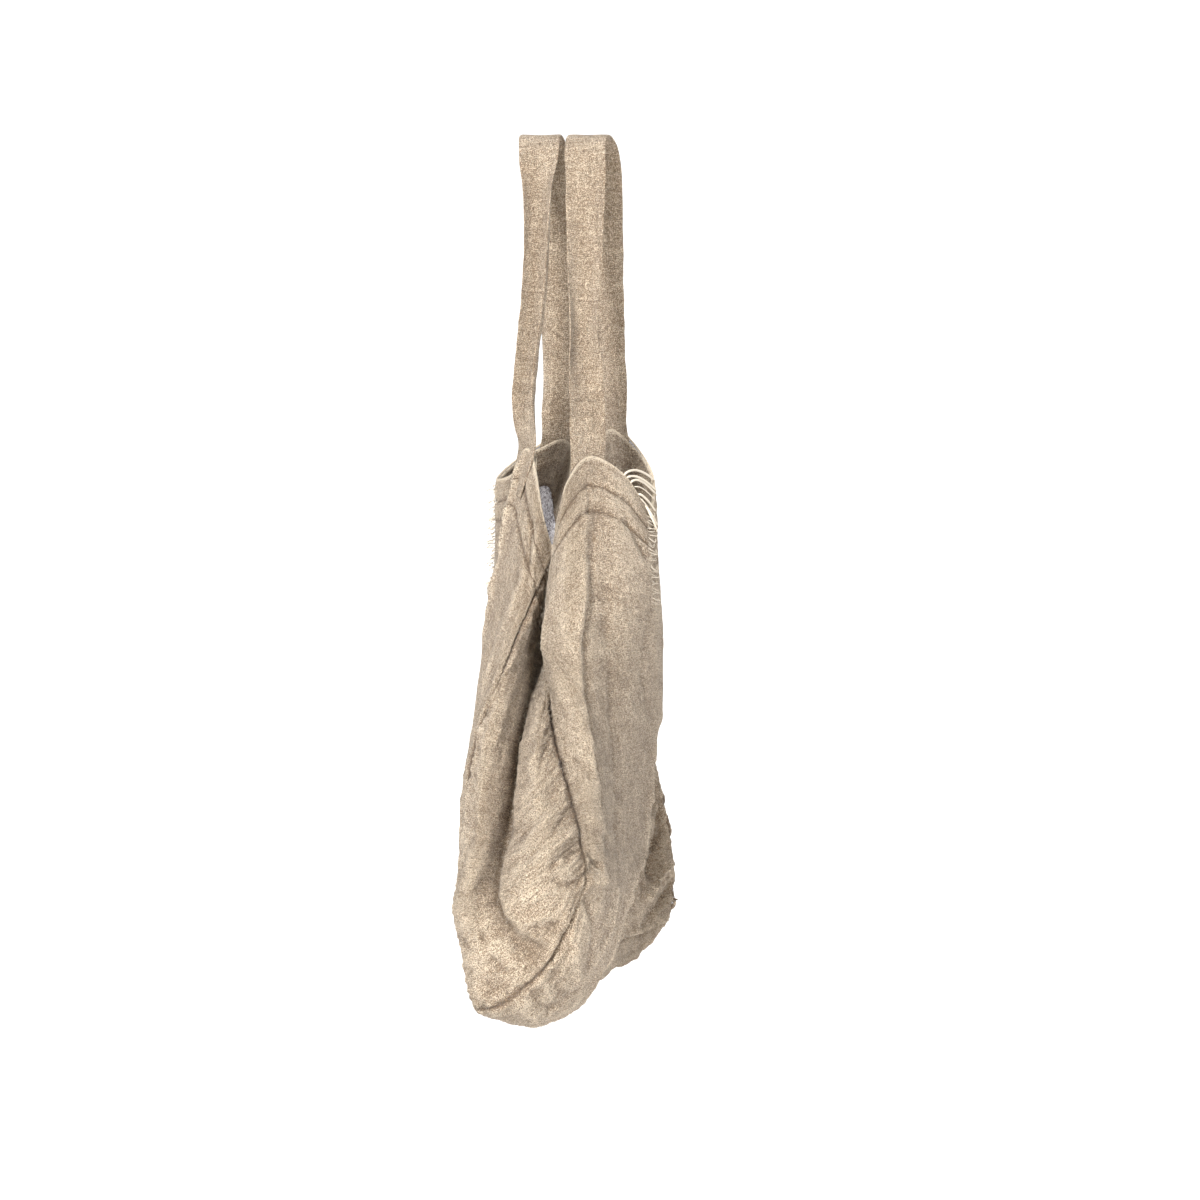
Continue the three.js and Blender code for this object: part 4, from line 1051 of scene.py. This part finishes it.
def rim_arcs(seed):
    """Long cream threads that bridge the dip of the right rim, from its near to its far side."""
    draw = np.random.default_rng(seed)
    k = np.arange(RIM_ARCS)
    near = ARC_ENDS[0] + ARC_STEPS[0] * k + draw.uniform(-1.3, 1.3, RIM_ARCS)
    far = ARC_ENDS[1] - ARC_STEPS[1] * k + draw.uniform(-1.3, 1.3, RIM_ARCS)
    deep = 1.0 + draw.uniform(0, 1.0, RIM_ARCS)
    far_deep = 1.5 + 3.5 * k + draw.uniform(0, 1.6, RIM_ARCS)
    t = np.linspace(0, 1, ARC_POINTS)[None, :, None]
    start = on_strip(STRIP_LENGTH - deep, near, np.full(RIM_ARCS, -0.6))[:, None]
    end = on_strip(STRIP_LENGTH - far_deep, far, np.full(RIM_ARCS, -0.6))[:, None]
    lift = np.interp(k, *ARC_LIFTS) + draw.uniform(-1.6, 1.6, RIM_ARCS)
    bulge = np.stack([2.0 - 0.5 * lift, -4.5 + 0 * lift, lift], axis=1)[:, None]
    paths = start * (1 - t) + end * t + bulge * 4 * t * (1 - t)
    return paths, draw.choice([0.5, 0.8, 1.0], RIM_ARCS)


left_threads = tubes("left_frayed_threads", *worn_threads("left", 7.0, 46, 81))
paths, radii = worn_threads("right", 3.5, 30, 91)
arc_paths, arc_radii = rim_arcs(93)
right_threads = tubes("right_frayed_threads", np.concatenate([paths, arc_paths]), np.r_[radii, arc_radii])
print("faces in one frayed band:", len(left_threads.data.polygons))

# %% [markdown]
# ## Fuzz
# Worn linen sheds short fibres, which show best on the outline. A hair system would make them
# live, but the bag also has to leave Blender as plain meshes. So each one is a thin bent tube of
# three sides. We root them at random places and let them lean along the cloth.

# %% Fuzz on the cloth
HAIR_RADIUS = 0.08


def hairs(roots, normals, seed):
    """Bent paths from the roots: out along the normal, then over to one side and a little down."""
    draw = np.random.default_rng(seed)
    count = len(roots)
    side = np.cross(normals, unit(draw.normal(size=(count, 3))))
    long = draw.uniform(1.0, 4.8, (count, 1))
    first = roots + long * (0.35 * normals + 0.25 * side)
    tip = first + long * (0.25 * normals + 0.6 * side + [0, 0, -0.2])
    return np.stack([roots, first, tip], axis=1)


def places_on(grid, flip, count, seed):
    """Random grid points and their outward directions."""
    draw = np.random.default_rng(seed)
    i = draw.integers(1, grid.shape[0] - 1, count)
    j = draw.integers(1, grid.shape[1] - 1, count)
    return grid[i, j], outward(grid, flip)[i, j]


cloth_roots = [places_on(grid, flip, count, seed) for grid, flip, count, seed in
               ((strip, True, 5200, 301), (near_gusset, False, 1500, 302), (far_gusset, True, 1200, 303))]
roots, normals = map(np.concatenate, zip(*cloth_roots))
body_fuzz = tubes("fuzz_on_the_cloth", hairs(roots, normals, 304), HAIR_RADIUS, sides=3)
print("hairs on the cloth:", len(roots))

# %% [markdown]
# ## Linen
# The cloth is a plain weave of unbleached linen: thick and thin threads of mixed brown and
# cream, about twelve to the centimetre. A photograph of linen could be used, but it brings its
# own light and repeats. So the pattern is worked out on the UV map, which is the flat cloth.
# Each thread gets its own shade from noise that is drawn out along it, a checker says which
# thread lies on top, and a sine across each thread makes it round in the bump. The reverse is
# pale and drawn with half as many threads, because its weave looks coarser there.

# %% Helpers for node trees
def node(tree, kind, inputs=(), **values):
    """Adds a node, sets its values and links or sets its inputs."""
    made = tree.nodes.new(kind)
    for key, value in values.items():
        setattr(made, key, value)
    for key, value in dict(inputs).items():
        if isinstance(value, bpy.types.NodeSocket):
            tree.links.new(value, made.inputs[key])
        else:
            made.inputs[key].default_value = value
    return made


def maths(tree, operation, a, b=0.0, c=None):
    """One Math node; numbers or sockets go in, and its result comes out."""
    inputs = {0: a, 1: b}
    if c is not None:
        inputs[2] = c
    return node(tree, "ShaderNodeMath", inputs, operation=operation).outputs[0]


def vector_maths(tree, operation, a, b):
    """One Vector Math node on two vectors, or on a vector and the number that scales it."""
    second = "Scale" if operation == "SCALE" else 1
    return node(tree, "ShaderNodeVectorMath", {0: a, second: b}, operation=operation).outputs[0]


def noise(tree, vector, scale, detail, **more):
    """The grey value of a noise texture at a place."""
    inputs = {"Vector": vector, "Scale": scale, "Detail": detail, **more}
    return node(tree, "ShaderNodeTexNoise", inputs).outputs["Fac"]


def mixed(tree, share, low, high):
    """A colour mix of two sockets or colours."""
    made = node(tree, "ShaderNodeMix", {0: share}, data_type="RGBA")
    for socket, value in ((made.inputs[6], low), (made.inputs[7], high)):
        if isinstance(value, bpy.types.NodeSocket):
            tree.links.new(value, socket)
        else:
            socket.default_value = (*value, 1)
    return made.outputs[2]


def new_material(name, **values):
    """A material whose shader gets these values; an underscore in a name stands for a space."""
    material = bpy.data.materials.new(name)
    material.use_nodes = True
    shader = material.node_tree.nodes["Principled BSDF"]
    for key, value in values.items():
        shader.inputs[key.replace("_", " ")].default_value = value
    return material, material.node_tree, shader


print("helpers for materials: node, maths, vector_maths, noise, mixed, new_material")

# %% Threads of the weave
THREADS, REVERSE_THREADS = 115.0, 56.0


def flat_place(tree, uv):
    """The place on the flat cloth, pushed about by soft noise so that no thread runs straight."""
    push = {"Vector": uv, "Scale": 9.0, "Detail": 1.0}
    colour = node(tree, "ShaderNodeTexNoise", push).outputs["Color"]
    wander = vector_maths(tree, "SUBTRACT", colour, (0.5, 0.5, 0.5))
    return vector_maths(tree, "ADD", uv, vector_maths(tree, "SCALE", wander, 0.02))


def threads(tree, place, number, length):
    """Noise drawn out along threads: the place times number one way and length the other."""
    return noise(tree, vector_maths(tree, "MULTIPLY", place, (number, length, 1)), 1.0, 2.0, Roughness=0.6)


def weave(tree, place, count):
    checker = node(tree, "ShaderNodeTexChecker", {"Vector": place, "Scale": count}).outputs["Fac"]
    top = maths(tree, "MULTIPLY_ADD", checker, 0.7, 0.15)
    warp, weft = threads(tree, place, count, 36.0), threads(tree, place, 32.0, count)
    top_thread = node(tree, "ShaderNodeMix", {0: top, 2: warp, 3: weft}).outputs[0]
    warp_slub, weft_slub = threads(tree, place, count * 0.6, 18.0), threads(tree, place, 16.0, count * 0.6)
    return checker, top_thread, maths(tree, "MAXIMUM", warp_slub, weft_slub)


print("threads in 100 mm:", THREADS, "on the face,", REVERSE_THREADS, "on the reverse")

# %% Tone and bump of the weave
BAR_SHARE, GROOVE_SHADE = 0.32, -0.75


def thread_tone(tree, uv, place, top_thread, slub, fibre, fold, contrast):
    """How light the cloth is: the top thread's shade, and then for slubs, fibres, long bars, blots
    and folds the value less its middle, times its weight. Last come the painted shade in grooves
    and hollows and the painted highlight on ridges and the rim."""
    bars = maths(tree, "ADD", threads(tree, place, THREADS * BAR_SHARE, 2.6),
                 threads(tree, place, 2.2, THREADS * BAR_SHARE))
    blot = noise(tree, uv, 3.2, 4.0, Roughness=0.65)
    tone = maths(tree, "MULTIPLY_ADD", top_thread, 2.0 * contrast, 0.5 - contrast)
    # the folds' weight darkens the colour along the valleys of the soft fold bump: painted shade
    for value, middle, weight in ((slub, 0.56, 0.75), (fibre, 0.5, 2.4), (bars, 1.0, 0.32),
                                  (blot, 0.5, 0.5), (fold, 0.6, 0.14)):
        tone = maths(tree, "MULTIPLY_ADD", maths(tree, "SUBTRACT", value, middle), weight, tone)
    # painted shade and highlight from the groove attribute
    groove = node(tree, "ShaderNodeAttribute", attribute_name="groove").outputs["Fac"]
    return maths(tree, "MULTIPLY_ADD", groove, GROOVE_SHADE, tone)


def weave_bump(tree, place, checker, top_thread, slub, fibre, fold, count):
    """Bumped normals: round threads, the size without sign of sin(pi count u) and of sin(pi count v),
    with shades, slubs and fibres on them, over the soft folds."""
    parts = node(tree, "ShaderNodeSeparateXYZ", {0: place})
    turns = [maths(tree, "MULTIPLY", parts.outputs[axis], np.pi * count) for axis in (0, 1)]
    waves = [maths(tree, "ABSOLUTE", maths(tree, "SINE", turn)) for turn in turns]
    height = node(tree, "ShaderNodeMix", {0: checker, 2: waves[0], 3: waves[1]}).outputs[0]
    for value, weight in ((top_thread, 0.9), (slub, 1.4), (fibre, 0.8)):
        height = maths(tree, "MULTIPLY_ADD", value, weight, height)
    soft = node(tree, "ShaderNodeBump", {"Height": fold, "Strength": 0.9, "Distance": 0.0015}).outputs[0]
    fine = {"Height": height, "Normal": soft, "Strength": 1.0, "Distance": 0.0006}
    return node(tree, "ShaderNodeBump", fine).outputs[0]


print("a long bar is about", round(1 / BAR_SHARE, 1), "threads wide")

# %% The linen material
BROWN, TAN, CREAM = (0.185, 0.124, 0.077), (0.45, 0.334, 0.228), (0.86, 0.73, 0.555)
# the reverse's own pale colours, raised brighter as painted light for the light that comes through the thin
# cloth
GREY, PALE_GREY, NEAR_WHITE = (0.13, 0.11, 0.115), (0.60, 0.56, 0.565), (1.0, 0.98, 1.0)


def linen(name, colours, shade=1.0, glow=0.0, seam=None, count=THREADS, contrast=1.0):
    """Linen in three thread colours, dark to light. shade darkens them all, as painted shade; glow is
    emission in the cloth's own colours, a painted glow for the light that comes through the thin
    cloth from behind; seam is the colour of a sewn-in edge; count is the threads in 100 mm; contrast
    sets how much the threads differ."""
    material, tree, shader = new_material(name, Roughness=0.92, Specular_IOR_Level=0.18, Sheen_Weight=0.22,
                                          Sheen_Roughness=0.35, Emission_Strength=glow)
    uv = node(tree, "ShaderNodeUVMap", uv_map="UVMap").outputs[0]
    place = flat_place(tree, uv)
    checker, top_thread, slub = weave(tree, place, count)
    fibre = noise(tree, uv, 150.0, 1.0)
    crumple = noise(tree, place, 11.0, 3.0, Roughness=0.62, Distortion=0.6)
    fold = maths(tree, "ABSOLUTE", maths(tree, "SUBTRACT", crumple, 0.5))
    fold = maths(tree, "MINIMUM", maths(tree, "MULTIPLY", fold, 5.0), 1.0)
    tone = thread_tone(tree, uv, place, top_thread, slub, fibre, fold, contrast)
    ramp = node(tree, "ShaderNodeValToRGB", {"Fac": tone})
    elements = ramp.color_ramp.elements
    elements[0].position, elements[1].position = 0.18, 0.92
    elements.new(0.5)
    for element, colour in zip(elements, colours):
        element.color = (*[part * shade for part in colour], 1)
    colour = ramp.outputs["Color"]
    if seam:
        edge = node(tree, "ShaderNodeAttribute", attribute_name="sewn_edge").outputs["Fac"]
        colour = mixed(tree, maths(tree, "MINIMUM", maths(tree, "MULTIPLY", edge, 3.0), 1.0), colour, seam)
    tree.links.new(colour, shader.inputs["Base Color"])
    # the glow is painted light, in the cloth's own colours
    tree.links.new(colour, shader.inputs["Emission Color"])
    normal = weave_bump(tree, place, checker, top_thread, slub, fibre, fold, count)
    tree.links.new(normal, shader.inputs["Normal"])
    return material


outer_linen = linen("Unbleached linen", (BROWN, TAN, CREAM))
# the reverse glows with painted light that stands in for light through the thin cloth
inner_linen = linen("Pale reverse of the linen", (GREY, PALE_GREY, NEAR_WHITE), glow=0.34, seam=BROWN,
                    count=REVERSE_THREADS, contrast=1.7)
# the facing is the outer linen made darker by painted shade, with a faint painted glow
shade_linen = linen("Facing linen", (BROWN, TAN, CREAM), shade=0.85, glow=0.05)
print("nodes in the linen:", len(outer_linen.node_tree.nodes))

# %% [markdown]
# ## Thread
# The bare threads are cream and the sewing thread is brown. A thread is too thin for a weave to
# show, so one colour with fine noise for its twist is enough.

# %% The thread materials
def plain_thread(name, colour):
    """Thread of one colour, with fine noise for its twist."""
    material, tree, shader = new_material(name, Roughness=0.85, Specular_IOR_Level=0.2)
    spot = node(tree, "ShaderNodeTexCoord").outputs["Object"]
    darker = tuple(part * 0.72 for part in colour)
    twist = mixed(tree, noise(tree, spot, 900.0, 2.0), darker, colour)
    tree.links.new(twist, shader.inputs["Base Color"])
    return material


cream_thread = plain_thread("Cream linen thread", (0.80, 0.71, 0.58))
brown_thread = plain_thread("Brown sewing thread", (0.20, 0.145, 0.10))
print("finishes made:", len(bpy.data.materials))

# %% [markdown]
# ## Finishes and bodies
# The body's cloth has two faces: Solidify gives the inner one the second material. Each piece
# but the straps rides on the bag's body. A strap is sewn to the bag; here it is fixed in place,
# and the CAD handle that it stands for is hidden with both its ends.

# %% Finishes and bodies
placed_pieces = (
    (body, (outer_linen, inner_linen), "linen", ["body_cloth"]),
    (near_piece, (outer_linen, inner_linen), "linen", ["near_gusset"]),
    (far_piece, (outer_linen, inner_linen), "linen", ["far_gusset"]),
    (facing, (shade_linen,), "facing_linen",
     ["left_facing", "right_facing", "near_gusset_facing", "far_gusset_facing"]),
    (upper_stitches, (brown_thread,), "sewing_thread", ["upper_rim_stitching"]),
    (lower_stitches, (brown_thread,), "sewing_thread", ["lower_rim_stitching"]),
    (left_threads, (cream_thread,), "cream_thread", ["left_frayed_band"]),
    (right_threads, (cream_thread,), "cream_thread", ["right_frayed_band"]),
    (body_fuzz, (cream_thread,), "linen", []),
)
for piece, finishes, slot, nodes in placed_pieces:
    for finish in finishes:
        piece.data.materials.append(finish)
    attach(piece, "bag")
    if nodes:
        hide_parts(*nodes)
for piece, side in ((left_strap, "left"), (right_strap, "right")):
    piece.data.materials.append(outer_linen)
    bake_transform(piece)
    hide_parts(f"{side}_handle", f"{side}_handle_near_end", f"{side}_handle_far_end")


print("pieces placed on their bodies:", len(placed_pieces) + 2)

# %% [markdown]
# ## Floor, light and camera
# The bag hangs in front of a plain pale sweep, in soft light from the front and from above.
# The camera looks a little from the right of the near gusset and a little downwards, from
# 3.2 m with a long lens, so that the two straps stand side by side.

# %% Floor
def sweep():
    """A floor that curves up into a wall: flat, a quarter circle of radius 5 m, then upright."""
    angle = np.linspace(0, np.pi / 2, 33)
    y = np.concatenate([[-8], 1 + 5 * np.sin(angle), [6]])
    z = np.concatenate([[0], 5 - 5 * np.cos(angle), [9]]) - 0.98
    x = np.array([-9.0, 9.0])
    points = np.stack([np.repeat(x[None], len(y), 0), np.repeat(y[:, None], 2, 1),
                       np.repeat(z[:, None], 2, 1)], axis=2)
    return smooth_mesh("floor", points.reshape(-1, 3) * 1000, grid_faces(len(y), 2))


floor = sweep()
floor_paint = new_material("Pale floor", Base_Color=(0.93, 0.93, 0.93, 1), Roughness=0.9,
                           Emission_Color=(1, 1, 1, 1), Emission_Strength=0.3)[0]
floor.data.materials.append(floor_paint)
print("floor faces:", len(floor.data.polygons))

# %% Lights
from mathutils import Matrix, Vector


def soft_light(name, place, aim, size, watts, colour=(1, 1, 1)):
    """A square area light that faces its aim."""
    data = bpy.data.lights.new(name, "AREA")
    data.size, data.energy, data.color = size, watts, colour
    lamp = bpy.data.objects.new(name, data)
    lamp.location = place
    lamp.rotation_euler = (Vector(aim) - Vector(place)).to_track_quat("-Z", "Y").to_euler()
    bpy.context.scene.collection.objects.link(lamp)


CENTRE = (0, 0, -0.4)
soft_light("Key", (-0.7, -3.05, 1.7), CENTRE, 0.6, 188)
soft_light("Fill", (2.3, -2.4, 0.9), CENTRE, 1.2, 62)
soft_light("Back", (0.2, 2.4, 1.9), (0, 0, -0.3), 2.0, 26)
world = bpy.data.worlds.new("Studio")
world.use_nodes = True
world.node_tree.nodes["Background"].inputs["Color"].default_value = (1, 1, 1, 1)
world.node_tree.nodes["Background"].inputs["Strength"].default_value = 0.5
bpy.context.scene.world = world
bpy.context.scene.view_settings.view_transform = "Standard"
print("lamps:", len(bpy.data.lights))

# %% Camera
AZIMUTH, ELEVATION = np.radians(14.0), np.radians(6.0)
DISTANCE, FRAME_PIXELS, MM_PER_PIXEL, SENSOR_MM = 3200.0, 1200, 0.77, 36.0
ORIGIN_PIXEL = (563, 137)
right = np.array([np.cos(AZIMUTH), np.sin(AZIMUTH), 0])
level = np.array([-np.sin(AZIMUTH), np.cos(AZIMUTH), 0])
ahead = level * np.cos(ELEVATION) - np.array([0, 0, np.sin(ELEVATION)])
upward = np.cross(right, ahead)
focal = DISTANCE / MM_PER_PIXEL
aside = (ORIGIN_PIXEL[0] - FRAME_PIXELS / 2) / focal
above = (FRAME_PIXELS / 2 - ORIGIN_PIXEL[1]) / focal
eye = -DISTANCE * (ahead + aside * right + above * upward)
camera_data = bpy.data.cameras.new("Camera")
camera_data.sensor_width = SENSOR_MM
camera_data.lens = focal / FRAME_PIXELS * SENSOR_MM
camera_data.clip_end = 50
camera = bpy.data.objects.new("Camera", camera_data)
camera.matrix_world = (Matrix.Translation(Vector(eye / 1000))
                       @ Matrix(np.stack([right, upward, -ahead], axis=1).tolist()).to_4x4())
bpy.context.scene.collection.objects.link(camera)
bpy.context.scene.camera = camera
print("camera at", np.round(eye / 1000, 3).tolist(), "lens", round(camera_data.lens, 1), "mm")
